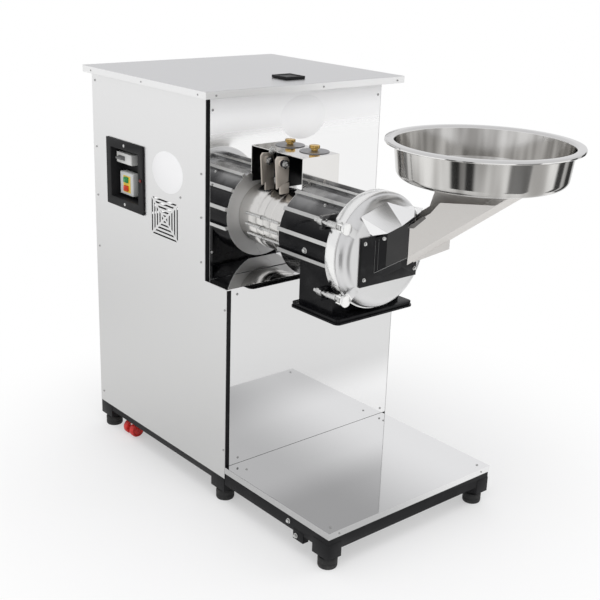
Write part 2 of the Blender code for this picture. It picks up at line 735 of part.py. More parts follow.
def platform():
    """A tray of folded sheet over the front rails, turned down at the front and both sides."""
    bm = bmesh.new()
    box_into(bm, (0, PLATFORM_FRONT, PLATFORM_TOP - PLATFORM_LIP), (PLATFORM_WIDTH, -GAP, PLATFORM_TOP))
    away = [face for face in bm.faces if facing(face, -Z_AXIS) or facing(face, Y_AXIS)]
    bmesh.ops.delete(bm, geom=away, context="FACES")
    mesh = bpy.data.meshes.new("platform_plate")
    bm.to_mesh(mesh)
    bm.free()
    plate = place("platform_plate", mesh, "mirror")
    wall = plate.modifiers.new("sheet", "SOLIDIFY")
    wall.thickness = COVER_SHEET
    wall.offset = -1.0
    wall.use_even_offset = True


def spokes(name, angles, inner, outer, width, y0, y1):
    """Bars that stand out round the chamber's axis, as one cutter or addition."""
    bm = bmesh.new()
    for angle in angles:
        made = bmesh.ops.create_cube(bm, size=1.0)["verts"]
        bmesh.ops.scale(bm, vec=(outer - inner, y1 - y0, width), verts=made)
        bmesh.ops.translate(bm, vec=((outer + inner) / 2, (y0 + y1) / 2, 0), verts=made)
        bmesh.ops.rotate(bm, cent=(0, 0, 0), matrix=Matrix.Rotation(-math.radians(angle), 3, "Y"), verts=made)
    return place(name, to_mesh(bm, name), None, (AXIS_X, 0, AXIS_Z))


def boxes(name, corners):
    """Several boxes as one cutter or addition."""
    bm = bmesh.new()
    for low, high in corners:
        box_into(bm, low, high)
    return place(name, to_mesh(bm, name), None)


def rounded(x0, x1, y0, y1, radius, steps=4):
    """A rectangle with round corners."""
    loop = arc((x1 - radius, y1 - radius), radius, 0, 90, steps)
    loop += arc((x0 + radius, y1 - radius), radius, 90, 180, steps)
    loop += arc((x0 + radius, y0 + radius), radius, 180, 270, steps)
    loop += arc((x1 - radius, y0 + radius), radius, 270, 360, steps)
    return loop


def clamp_places():
    return {"upper": (AXIS_X + UPPER_CLAMP[0], AXIS_Z + UPPER_CLAMP[1]),
            "lower": (AXIS_X + LOWER_CLAMP[0], AXIS_Z + LOWER_CLAMP[1])}


def chamber():
    """The cast grinding chamber: a ribbed barrel, its outlet duct, the clamp lugs and the hinge bracket."""
    inside = BARREL_RADIUS - BARREL_WALL
    profile = [(0.0, CHAMBER_LENGTH), (BARREL_RADIUS, CHAMBER_LENGTH), (BARREL_RADIUS, 0.0), (0.0, 0.0)]
    body = turned("chamber_body", profile, (AXIS_X, CHAMBER_FRONT, AXIS_Z), (0, 1, 0), "black_paint", 48)
    angles = [RIB_PHASE + number * 360 / RIB_COUNT for number in range(RIB_COUNT)]
    clear = [angle for angle in angles if (angle - RIB_FIRST) % 360 <= RIB_LAST - RIB_FIRST]
    ribs = spokes("barrel_ribs", clear, BARREL_RADIUS - 0.003, BARREL_RADIUS + RIB_HEIGHT, RIB_WIDTH,
                  CHAMBER_FRONT + INSET, CHAMBER_BACK - INSET)
    duct = boxes("duct_outside", [((AXIS_X - DUCT_HALF_WIDTH, CHAMBER_FRONT + INSET / 2, MOUTH_BOTTOM + 0.001),
                                   (AXIS_X + DUCT_HALF_WIDTH, DUCT_BACK, AXIS_Z - 0.03))])
    parts = [ribs, duct]
    left, right = AXIS_X - MOUTH_HALF_WIDTH, AXIS_X + MOUTH_HALF_WIDTH
    layers = ((0.0, MOUTH_BEAD * 0.45, 0.0), (MOUTH_BEAD * 0.4, MOUTH_BEAD * 0.95, 0.004),
              (MOUTH_BEAD * 0.9, MOUTH_BEAD * 1.35, 0.002))
    for number, (low, high, inset) in enumerate(layers):
        loop = rounded(left + inset, right - inset, MOUTH_FRONT + inset, MOUTH_BACK - inset, 0.012 - inset)
        parts.append(outline("mouth_layer_%d" % number, [loop], (high - low) / 2, None,
                             (0, 0, MOUTH_BOTTOM + (low + high) / 2), FACING_UP))
    lug_front = LID_BACK + LUG_BACK_OF_LID
    half = NUT_RADIUS + LUG_SLACK
    for side, (x, z) in clamp_places().items():
        parts.append(boxes("clamp_lug_" + side, [((x - LUG_REACH, lug_front, z - half - LUG_PRONG),
                                                  (AXIS_X - 0.068, lug_front + LUG_THICKNESS, z + half + LUG_PRONG))]))
    hinge_x = AXIS_X + HINGE_X
    low, high = HINGE_KNUCKLE / 2 + GAP, HINGE_KNUCKLE / 2 + HINGE_CHEEK
    bar = ((AXIS_X + 0.080, CHAMBER_FRONT + INSET, AXIS_Z - high + GAP),
           (hinge_x + HINGE_KNUCKLE_RADIUS, CHAMBER_FRONT + HINGE_LEAF, AXIS_Z + high - GAP))
    parts.append(boxes("hinge_bar", [bar]))
    for side, z0, z1 in (("upper", low, high), ("lower", -high, -low)):
        parts.append(boxes("hinge_link_" + side, [((hinge_x - HINGE_KNUCKLE_RADIUS + INSET, HINGE_Y, AXIS_Z + z0 + GAP),
                                                   (hinge_x + HINGE_KNUCKLE_RADIUS - INSET,
                                                    CHAMBER_FRONT + HINGE_LEAF - 0.001, AXIS_Z + z1 - GAP))]))
        parts.append(rod("hinge_cheek_" + side, (hinge_x, HINGE_Y, AXIS_Z + z0), (hinge_x, HINGE_Y, AXIS_Z + z1),
                         HINGE_KNUCKLE_RADIUS, None))
    join(body, *parts)
    slots = []
    for x, z in clamp_places().values():
        slots.append(((x - LUG_REACH - 0.01, lug_front - 0.01, z - half),
                      (x + half, lug_front + LUG_THICKNESS + 0.01, z + half)))
    cut(body, boxes("clamp_slots", slots))
    cut(body, boxes("duct_inside", [((AXIS_X - DUCT_HALF_WIDTH + DUCT_WALL, CHAMBER_FRONT + DUCT_WALL,
                                      MOUTH_BOTTOM - 0.01),
                                     (AXIS_X + DUCT_HALF_WIDTH - DUCT_WALL, DUCT_BACK - DUCT_WALL,
                                      AXIS_Z - DUCT_START))]))
    length = CHAMBER_LENGTH - BACK_WALL
    hollow = [(0.0, CHAMBER_LENGTH + 0.01), (SHAFT_HOLE, CHAMBER_LENGTH + 0.01), (SHAFT_HOLE, length),
              (inside, length), (inside, -0.01), (0.0, -0.01)]
    cut(body, turned("chamber_hollow", hollow, (AXIS_X, CHAMBER_FRONT, AXIS_Z), (0, 1, 0), None, 44))
    cut(body, rod("chamber_pin_bore", (hinge_x, HINGE_Y, AXIS_Z - 0.05), (hinge_x, HINGE_Y, AXIS_Z + 0.05),
                  HINGE_PIN_RADIUS + GAP, None, 16))
    return body


def sieve():
    """The perforated half-round screen at the bottom of the chamber."""
    outside = BARREL_RADIUS - BARREL_WALL - GAP
    inside = outside - SIEVE_SHEET
    start, end = -90 - SIEVE_HALF_ANGLE, -90 + SIEVE_HALF_ANGLE
    loop = arc((0, 0), outside, start, end, 16) + arc((0, 0), inside, end, start, 16)
    length = CHAMBER_LENGTH - BACK_WALL - 2 * GAP
    middle = CHAMBER_FRONT + GAP + length / 2
    screen = outline("sieve_screen", [loop], length / 2, "steel", (AXIS_X, middle, AXIS_Z), FACING_FRONT)
    bm = bmesh.new()
    for row in range(SIEVE_ROWS):
        for column in range(SIEVE_COLUMNS):
            angle = math.radians(-90 + SIEVE_HALF_ANGLE * 0.75 * (2 * column / (SIEVE_COLUMNS - 1) - 1))
            y = middle + length * 0.4 * (2 * row / (SIEVE_ROWS - 1) - 1)
            direction = Vector((math.cos(angle), 0, math.sin(angle)))
            turn = Vector((0, 0, 1)).rotation_difference(direction).to_matrix().to_4x4()
            centre = Matrix.Translation(direction * (outside + inside) / 2 + Vector((0, y, 0)))
            bmesh.ops.create_cone(bm, cap_ends=True, segments=6, radius1=SIEVE_HOLE, radius2=SIEVE_HOLE,
                                  depth=0.01, matrix=centre @ turn)
    cut(screen, place("sieve_holes", to_mesh(bm, "sieve_holes"), None, (AXIS_X, 0, AXIS_Z)))
    return screen


def neck_and_bearings():
    """The machined neck that carries the chamber, the plate behind the panel and the bearing housing."""
    start = CHAMBER_BACK + GAP
    plate_front = STEP_DEPTH + SHEET + GAP + POST + GAP
    end = plate_front - GAP - start
    groove = GROOVE_AT - start
    root = NECK_RADIUS - NECK_GROOVE
    profile = [(NECK_BORE, end), (NECK_RADIUS, end), (NECK_RADIUS, groove + GROOVE_WIDTH), (root, groove + GROOVE_WIDTH),
               (root, groove), (NECK_RADIUS, groove), (NECK_RADIUS, 0.0), (NECK_BORE, 0.0)]
    turned("neck", profile, (AXIS_X, start, AXIS_Z), (0, 1, 0), "zinc", 36, closed=True)
    left, right = SHEET + GAP, CABINET_WIDTH - SHEET - GAP
    outline("mount_plate",
            [rectangle(left, right, AXIS_Z - MOUNT_PLATE_HALF_HEIGHT, AXIS_Z + MOUNT_PLATE_HALF_HEIGHT),
             arc((AXIS_X, AXIS_Z), HOUSING_RADIUS + GAP, 0, 350, 35)],
            MOUNT_PLATE / 2, "steel", (0, plate_front + MOUNT_PLATE / 2, 0), FACING_FRONT)
    flange = plate_front + MOUNT_PLATE + GAP - start
    top = HOUSING_END - start
    seat = BEARING_WIDTH + 0.002
    bore = SHAFT_RADIUS + 0.004
    profile = [(BEARING_RADIUS, top), (HOUSING_RADIUS, top), (HOUSING_RADIUS, flange + 0.012),
               (HOUSING_FLANGE, flange + 0.012), (HOUSING_FLANGE, flange), (HOUSING_RADIUS, flange),
               (HOUSING_RADIUS, 0.0), (BEARING_RADIUS, 0.0), (BEARING_RADIUS, seat), (bore, seat),
               (bore, top - seat), (BEARING_RADIUS, top - seat)]
    turned("bearing_housing", profile, (AXIS_X, start, AXIS_Z), (0, 1, 0), "cast_grey", 28, closed=True)
    half = BEARING_WIDTH / 2
    outer, inner = BEARING_RADIUS - GAP, SHAFT_RADIUS + GAP
    profile = [(inner, half), (outer, half), (outer, -half), (inner, -half)]
    for side, y in (("front", start + seat - GAP - half), ("rear", HOUSING_END - seat + GAP + half)):
        turned("bearing_" + side, profile, (AXIS_X, y, AXIS_Z), (0, 1, 0), "steel", 24, closed=True)


def pulley(name, centre, radius, bore):
    """A flat-sided pulley with one belt groove."""
    half = PULLEY_WIDTH / 2
    root = radius - BELT_DEPTH
    floor = BELT_WIDTH / 2 + BELT_CLEARANCE
    profile = [(bore, half), (radius, half), (radius, floor + 0.001), (root, floor), (root, -floor),
               (radius, -floor - 0.001), (radius, -half), (bore, -half)]
    return turned(name, profile, centre, (0, 1, 0), "steel", 24, closed=True)


def belt_loop(grow):
    """The belt's line round both pulleys, this far out from the grooves."""
    low = MOTOR_PULLEY - BELT_DEPTH + BELT_CLEARANCE + grow
    high = SHAFT_PULLEY - BELT_DEPTH + BELT_CLEARANCE + grow
    apart = AXIS_Z - MOTOR_Z
    lean = math.degrees(math.asin((low - high) / apart))
    return arc((0, apart), high, lean, 180 - lean, 12) + arc((0, 0), low, 180 - lean, 360 + lean, 24)


def drive():
    """Main shaft, rotor, pulleys and belt."""
    start = ROTOR_AT - ROTOR_DISC / 2 - GAP - ROTOR_NUT - 0.004
    shoulder = ROTOR_AT + ROTOR_DISC / 2 + GAP - start
    step = HOUSING_END + 0.006 - start
    end = PULLEY_Y + PULLEY_WIDTH / 2 + 0.006 - start
    thin = SHAFT_RADIUS - SHAFT_STEP
    profile = [(0.0, end), (thin, end), (thin, step), (SHAFT_RADIUS, step), (SHAFT_RADIUS, shoulder),
               (thin, shoulder), (thin, 0.0), (0.0, 0.0)]
    turned("main_shaft", profile, (AXIS_X, start, AXIS_Z), (0, 1, 0), "steel", 24)
    pulley("driven_pulley", (AXIS_X, PULLEY_Y, AXIS_Z), SHAFT_PULLEY, thin + GAP)
    half = ROTOR_DISC / 2
    profile = [(thin + GAP, half), (ROTOR_RADIUS, half), (ROTOR_RADIUS, -half), (thin + GAP, -half)]
    rotor = turned("rotor", profile, (AXIS_X, ROTOR_AT, AXIS_Z), (0, 1, 0), "steel", 24, closed=True)
    tip = BARREL_RADIUS - BARREL_WALL - GAP - SIEVE_SHEET - BEATER_CLEARANCE
    angles = [number * 360 / BEATER_COUNT for number in range(BEATER_COUNT)]
    join(rotor, spokes("beaters", angles, ROTOR_RADIUS - 0.008, tip, BEATER_WIDTH,
                       ROTOR_AT + half + 0.006 - BEATER_LENGTH, ROTOR_AT + half + 0.006))
    y = ROTOR_AT - half - GAP - ROTOR_NUT / 2
    outline("rotor_nut", [arc((0, 0), thin * 1.8, 0, 300, 5), arc((0, 0), thin + GAP, 0, 345, 23)], ROTOR_NUT / 2,
            "zinc", (AXIS_X, y, AXIS_Z), FACING_FRONT)
    outline("v_belt", [belt_loop(BELT_DEPTH), belt_loop(0.0)], BELT_WIDTH / 2, "rubber",
            (AXIS_X, PULLEY_Y, MOTOR_Z), FACING_FRONT)


def motor():
    """A foot-mounted motor on a welded base, with its fan cowl, shaft and pulley."""
    floor = RAIL_TOP + GAP
    foot = MOTOR_Z - MOTOR_SHAFT_HEIGHT
    back = MOTOR_FRONT + MOTOR_LENGTH
    middle = (MOTOR_FRONT + back) / 2
    left, right = SHEET + GAP, CABINET_WIDTH - SHEET - GAP
    base_half = MOTOR_LENGTH / 2
    outline("motor_base",
            [rectangle(left, right, middle - base_half, middle + base_half),
             rectangle(left + RAIL_WIDTH, right - RAIL_WIDTH, middle - base_half + RAIL_WIDTH,
                       middle + base_half - RAIL_WIDTH)],
            (foot - GAP - floor) / 2, "black_paint", (0, 0, (foot - GAP + floor) / 2), FACING_UP)
    root = MOTOR_RADIUS - FIN_HEIGHT
    loop = []
    for fin in range(FIN_COUNT):
        for radius, share in ((root, 0.2), (MOTOR_RADIUS, 0.3), (MOTOR_RADIUS, 0.7), (root, 0.8)):
            angle = math.radians((fin + share) * 360 / FIN_COUNT)
            loop.append((radius * math.cos(angle), radius * math.sin(angle)))
    body = outline("motor_body", [loop], MOTOR_LENGTH / 2, "cast_grey", (AXIS_X, middle, MOTOR_Z), FACING_FRONT)
    shield = rod("motor_shield", (AXIS_X, MOTOR_FRONT - 0.014, MOTOR_Z), (AXIS_X, MOTOR_FRONT + 0.01, MOTOR_Z),
                 root * 0.75, None, 32)
    feet_half = MOTOR_RADIUS * 0.9
    plate = boxes("motor_feet", [((AXIS_X - feet_half, middle - base_half, foot),
                                  (AXIS_X + feet_half, middle + base_half, foot + 0.012))])
    pedestal = boxes("motor_pedestal", [((AXIS_X - feet_half * 0.6, MOTOR_FRONT + 0.02, foot + 0.006),
                                         (AXIS_X + feet_half * 0.6, back - 0.02, MOTOR_Z - root * 0.5))])
    join(body, shield, plate, pedestal)
    bore_end = MOTOR_FRONT + 0.05
    cut(body, rod("motor_bore", (AXIS_X, MOTOR_FRONT - 0.03, MOTOR_Z), (AXIS_X, bore_end, MOTOR_Z),
                  MOTOR_SHAFT + GAP, None, 24))
    cowl = root * 0.98
    profile = [(0.0, FAN_COWL), (cowl * 0.93, FAN_COWL), (cowl, FAN_COWL * 0.8), (cowl, -0.004), (0.0, -0.004)]
    join(body, turned("fan_cowl", profile, (AXIS_X, back, MOTOR_Z), (0, 1, 0), None, 32))
    rod("motor_shaft", (AXIS_X, PULLEY_Y - PULLEY_WIDTH / 2 - 0.004, MOTOR_Z), (AXIS_X, bore_end - GAP, MOTOR_Z),
        MOTOR_SHAFT, "steel", 20)
    pulley("motor_pulley", (AXIS_X, PULLEY_Y, MOTOR_Z), MOTOR_PULLEY, MOTOR_SHAFT + GAP)


def hang(name, point, pieces):
    """Pieces that move together are carried by an empty on their joint's axis."""
    pivot = bpy.data.objects.new(name, None)
    pivot.parent = CARRIER
    pivot.location = Vector(point)
    PARTS.objects.link(pivot)
    for piece in pieces:
        piece.parent = pivot
        piece.location = piece.location - Vector(point)


def lid():
    """The round lid with its ring band, the two clamp ears and the hinge leaf."""
    shoulder = LID_DEPTH - LID_BAND
    reach = LID_RADIUS - LID_STEP - LID_FLAT_RADIUS
    round_off = [(LID_FLAT_RADIUS + reach * math.cos(math.radians(angle)),
                  shoulder - shoulder * math.sin(math.radians(angle))) for angle in (0, 25, 50, 75)]
    profile = [(0.0, LID_FACE_WALL), (LID_BORE, LID_FACE_WALL), (LID_BORE, LID_DEPTH), (LID_RADIUS, LID_DEPTH),
               (LID_RADIUS, shoulder)] + round_off + [(LID_FLAT_RADIUS, 0.0), (0.0, 0.0)]
    plate = turned("lid", profile, (AXIS_X, LID_FACE, AXIS_Z), (0, 1, 0), "polished", 48)
    parts = []
    pin_y = LID_FACE + SWING_PIN_BACK
    gap_half = EYE_WIDTH / 2 + GAP
    for side, (x, z) in clamp_places().items():
        across, up = x - AXIS_X, z - AXIS_Z
        angle = math.degrees(math.atan2(up, across))
        parts.append(spokes("ear_bridge_" + side, [angle], LID_FLAT_RADIUS - 0.012, math.hypot(across, up),
                            EAR_RADIUS * 1.5, LID_FACE + INSET, LID_FACE + EAR_THICKNESS - INSET))
        parts.append(rod("ear_" + side, (x, LID_FACE, z), (x, LID_FACE + EAR_THICKNESS, z), EAR_RADIUS, None, 24))
        cheeks = []
        for z0, z1 in ((gap_half, gap_half + CLEVIS_CHEEK), (-gap_half - CLEVIS_CHEEK, -gap_half)):
            cheeks.append(((x - EYE_RADIUS, LID_FACE + 0.003, z + z0), (x + EYE_RADIUS, pin_y + EYE_RADIUS, z + z1)))
        parts.append(boxes("clevis_" + side, cheeks))
    hinge_x = AXIS_X + HINGE_X
    half = HINGE_KNUCKLE / 2
    parts.append(boxes("lid_leaf", [((AXIS_X + LID_RADIUS - 0.012, LID_BACK - 0.016, AXIS_Z - half + INSET),
                                     (hinge_x, LID_BACK - 0.0034, AXIS_Z + half - INSET))]))
    parts.append(rod("lid_knuckle", (hinge_x, HINGE_Y, AXIS_Z - half), (hinge_x, HINGE_Y, AXIS_Z + half),
                     HINGE_KNUCKLE_RADIUS - GAP, None))
    join(plate, *parts)
    holes = [rod("lid_pin_bore", (hinge_x, HINGE_Y, AXIS_Z - 0.05), (hinge_x, HINGE_Y, AXIS_Z + 0.05),
                 HINGE_PIN_RADIUS + GAP, None, 16)]
    for side, (x, z) in clamp_places().items():
        holes.append(rod("clamp_pin_bore_" + side, (x, pin_y, z - 0.02), (x, pin_y, z + 0.02),
                         SWING_PIN_RADIUS + GAP, None, 12))
    cut(plate, *holes)
    cut(plate, boxes("lid_window", [feed_window()]))
    return plate


def feed_window():
    """The opening through the lid and the feed plate, as wide as the throat inside."""
    half = (CHUTE_WIDTH / 2 - THROAT_WALL) / math.cos(math.radians(CHUTE_ANGLE))
    bottom = floor_level(0.0) + CHUTE_FOLD + THROAT_WALL
    top = floor_level(0.0) + throat_height(0.0) - THROAT_WALL
    return ((CHUTE_START.x - half, CHUTE_START.y - 0.01, bottom), (CHUTE_START.x + half, LID_FACE + 0.02, top))


def loft(name, sections, kind, pivot, capped):
    """A skin over sections that have as many points each; closed round, with both ends capped, or an open sheet."""
    bm = bmesh.new()
    rings = [[bm.verts.new(Vector(point) - Vector(pivot)) for point in section] for section in sections]
    count = len(sections[0])
    for first, second in zip(rings, rings[1:]):
        for index in range(count if capped else count - 1):
            after = (index + 1) % count
            bm.faces.new((first[index], first[after], second[after], second[index]))
    if capped:
        bm.faces.new(rings[0])
    bm.faces.new(rings[-1])
    if capped:
        return place(name, to_mesh(bm, name), kind, pivot)
    mesh = bpy.data.meshes.new(name)
    bm.to_mesh(mesh)
    bm.free()
    return place(name, mesh, kind, pivot)


def floor_level(along):
    """The height of the floor line: flatter in the throat than in the open chute."""
    past = along - THROAT_LENGTH
    return AXIS_Z - SEAM_UNDER_AXIS + past * (SLOPE if past > 0 else THROAT_RISE)


def throat_height(along):
    """The throat is as high as the chute's walls at the seam, and higher at the plate."""
    behind = -CHUTE_WIDTH / 2
    share = (along - behind) / (THROAT_LENGTH - behind)
    return THROAT_HEIGHT + (CHUTE_WALL - THROAT_HEIGHT) * share


def chute_point(across, along, height):
    """A point of the chute: across it, along it from the plate, and above its sloping floor line."""
    base = CHUTE_START + CHUTE_ACROSS * across + CHUTE_DIRECTION * along
    return (base.x, base.y, floor_level(along) + height)


def throat_section(inset, along):
    """A closed section with its lower corners cut off, like the open chute's folds."""
    lean = math.atan2(CHUTE_FOLD_IN, CHUTE_FOLD)
    half = CHUTE_WIDTH / 2 - inset
    fold = CHUTE_FOLD + inset * math.tan(lean / 2)
    floor_half = CHUTE_WIDTH / 2 - CHUTE_FOLD_IN - inset * math.tan(math.pi / 4 - lean / 2)
    top = throat_height(along) - inset
    loop = [(-half, fold), (-floor_half, inset), (floor_half, inset), (half, fold), (half, top), (-half, top)]
    return [chute_point(across, along, height) for across, height in loop]


def feed_plate():
    """The black plate on the lid, with the closed throat that leads into the chamber."""
    plate = outline("feed_plate",
                    [rectangle(CHUTE_START.x - FEED_PLATE_WIDTH / 2, CHUTE_START.x + FEED_PLATE_WIDTH / 2,
                               AXIS_Z - FEED_PLATE_HEIGHT / 2 - FEED_PLATE_DROP,
                               AXIS_Z + FEED_PLATE_HEIGHT / 2 - FEED_PLATE_DROP)],
                    FEED_PLATE_THICKNESS / 2, "black_paint",
                    (0, LID_FACE - GAP - FEED_PLATE_THICKNESS / 2, 0), FACING_FRONT)
    behind = -CHUTE_WIDTH
    outside = loft("throat_outside", [throat_section(0.0, behind), throat_section(0.0, THROAT_LENGTH)], None,
                   CHUTE_START, True)
    reach = 2 * FEED_PLATE_WIDTH
    front = LID_FACE - GAP - FEED_PLATE_THICKNESS + INSET
    cut(outside, boxes("behind_plate", [((AXIS_X - reach, front, AXIS_Z - reach),
                                         (AXIS_X + reach, front + reach, AXIS_Z + reach))]))
    join(plate, outside)
    past = [Vector(point) + CHUTE_DIRECTION * CLEAR for point in throat_section(THROAT_WALL, THROAT_LENGTH)]
    inside = loft("throat_inside", [throat_section(THROAT_WALL, behind), past], None, CHUTE_START, True)
    cut(plate, inside)
    return plate


def channel_section(along, near, far):
    """The open chute's section: walls, folds and floor, from its left edge to its right edge."""
    half = CHUTE_WIDTH / 2
    return [chute_point(-half, along, near), chute_point(-half, along, CHUTE_FOLD),
            chute_point(-half + CHUTE_FOLD_IN, along, 0.0), chute_point(half - CHUTE_FOLD_IN, along, 0.0),
            chute_point(half, along, CHUTE_FOLD), chute_point(half, along, far)]


def chute():
    """The sloping channel of folded sheet between the throat and the bowl."""
    under_bowl = BOWL_BOTTOM - GAP
    start = THROAT_LENGTH + GAP + CHUTE_SHEET / 2
    stations = [(start, CHUTE_WALL, CHUTE_WALL), (OPEN_LENGTH, CHUTE_WALL, CHUTE_WALL)]
    for along in (OPEN_LENGTH + CHUTE_RISE, NEAR_WALL_END, CHUTE_LENGTH):
        far = under_bowl - floor_level(along)
        stations.append((along, max(far - NEAR_WALL_UNDER_BOWL, CHUTE_FOLD + NEAR_LIP), far))
    body = loft("chute", [channel_section(*station) for station in stations], "brushed", CHUTE_START, False)
    wall = body.modifiers.new("sheet", "SOLIDIFY")
    wall.thickness = CHUTE_SHEET
    wall.offset = -1.0
    wall.use_even_offset = True
    return body


def gate():
    """The slide that stops the feed, with a folded tab to pull it by."""
    inset = CHUTE_SHEET + GAP
    half = CHUTE_WIDTH / 2 - inset
    bottom = CHUTE_SHEET / math.cos(math.radians(CHUTE_SLOPE)) + GAP + GATE_SHEET / 2 * SLOPE
    top = CHUTE_WALL + GATE_HANDLE
    lean = CHUTE_FOLD_IN / CHUTE_FOLD
    shoulder = CHUTE_FOLD + bottom
    loop = [(-half, shoulder), (-half + lean * CHUTE_FOLD, bottom), (half - lean * CHUTE_FOLD, bottom),
            (half, shoulder), (half, top), (-half, top)]
    base = CHUTE_START + CHUTE_DIRECTION * GATE_AT
    z = floor_level(GATE_AT)
    turn = Matrix((CHUTE_ACROSS, Vector((0, 0, 1)), CHUTE_DIRECTION)).transposed().to_quaternion()
    return outline("chute_gate", [loop], GATE_SHEET / 2, "steel", (base.x, base.y, z), turn)


def bowl():
    """The feed bowl: pressed sheet with a flat rim and a round outlet over the chute."""
    top = BOWL_DEPTH
    bottom_radius = BOWL_RADIUS - BOWL_TAPER - BOWL_CORNER
    wall = arc((BOWL_RADIUS + BOWL_CORNER * 0.3, top - BOWL_CORNER * 0.3), BOWL_CORNER * 0.3, 90, 180, 3)
    corner = arc((bottom_radius, BOWL_CORNER), BOWL_CORNER, 0, -90, 5)
    edge = BOWL_RIM_RADIUS - BOWL_SHEET
    profile = [(edge, top - 0.004), (edge, top)] + wall + corner + [(0.0, 0.0)]
    dish = turned("bowl", profile, (BOWL_CENTRE.x, BOWL_CENTRE.y, BOWL_BOTTOM), (0, 0, 1), "polished", 40)
    sheet = dish.modifiers.new("sheet", "SOLIDIFY")
    sheet.thickness = BOWL_SHEET
    sheet.offset = -1.0
    sheet.use_even_offset = True
    outlet = BOWL_CENTRE + CHUTE_DIRECTION * OUTLET_OFFSET
    cut(dish, rod("bowl_outlet", (outlet.x, outlet.y, BOWL_BOTTOM - 0.01), (outlet.x, outlet.y, BOWL_BOTTOM + 0.02),
                  BOWL_OUTLET, None, 28))
    return dish


def clamp(side, x, z):
    """A swing bolt on its pin, with a hex nut behind the chamber's lug."""
    pin_y = LID_FACE + SWING_PIN_BACK
    lug_back = LID_BACK + LUG_BACK_OF_LID + LUG_THICKNESS
    nut_start = lug_back + GAP
    tip = nut_start + NUT_LENGTH + BOLT_TIP - pin_y
    sleeve_end = LID_BACK + LUG_BACK_OF_LID - 0.002 - pin_y
    sleeve_start = EYE_RADIUS * 1.7
    shank_start = EYE_RADIUS * 0.65
    profile = [(0.0, tip), (BOLT_RADIUS - 0.001, tip), (BOLT_RADIUS, tip - 0.001), (BOLT_RADIUS, sleeve_end),
               (SLEEVE_RADIUS, sleeve_end), (SLEEVE_RADIUS, sleeve_start), (BOLT_RADIUS, sleeve_start),
               (BOLT_RADIUS, shank_start), (0.0, shank_start)]
    bolt = turned("clamp_bolt_" + side, profile, (x, pin_y, z), (0, 1, 0), "zinc", 12)
    half = EYE_WIDTH / 2
    join(bolt, rod("bolt_eye_" + side, (x, pin_y, z - half), (x, pin_y, z + half), EYE_RADIUS, None))
    cut(bolt, rod("bolt_eye_bore_" + side, (x, pin_y, z - 0.02), (x, pin_y, z + 0.02), SWING_PIN_RADIUS + GAP,
                  None, 12))
    nut = outline("clamp_nut_" + side, [arc((0, 0), NUT_RADIUS, 0, 300, 5),
                                        arc((0, 0), BOLT_RADIUS + GAP, 0, 342, 19)],
                  NUT_LENGTH / 2, "zinc", (x, nut_start + NUT_LENGTH / 2, z), FACING_FRONT)
    half = SWING_PIN_LENGTH / 2
    pin = rod("clamp_pin_" + side, (x, pin_y, z - half), (x, pin_y, z + half), SWING_PIN_RADIUS, "zinc", 12)
    return [bolt, nut, pin]


def lid_group():
    """Everything that swings with the lid, on the hinge's axis."""
    hinge_x = AXIS_X + HINGE_X
    pieces = [lid(), feed_plate(), chute(), gate(), bowl()]
    for side, (x, z) in clamp_places().items():
        pieces += clamp(side, x, z)
    half = HINGE_KNUCKLE / 2 + HINGE_CHEEK + 0.002
    rod("hinge_pin", (hinge_x, HINGE_Y, AXIS_Z - half), (hinge_x, HINGE_Y, AXIS_Z + half), HINGE_PIN_RADIUS,
        "zinc", 16)
    hang("lid_swing", (hinge_x, HINGE_Y, AXIS_Z), pieces)


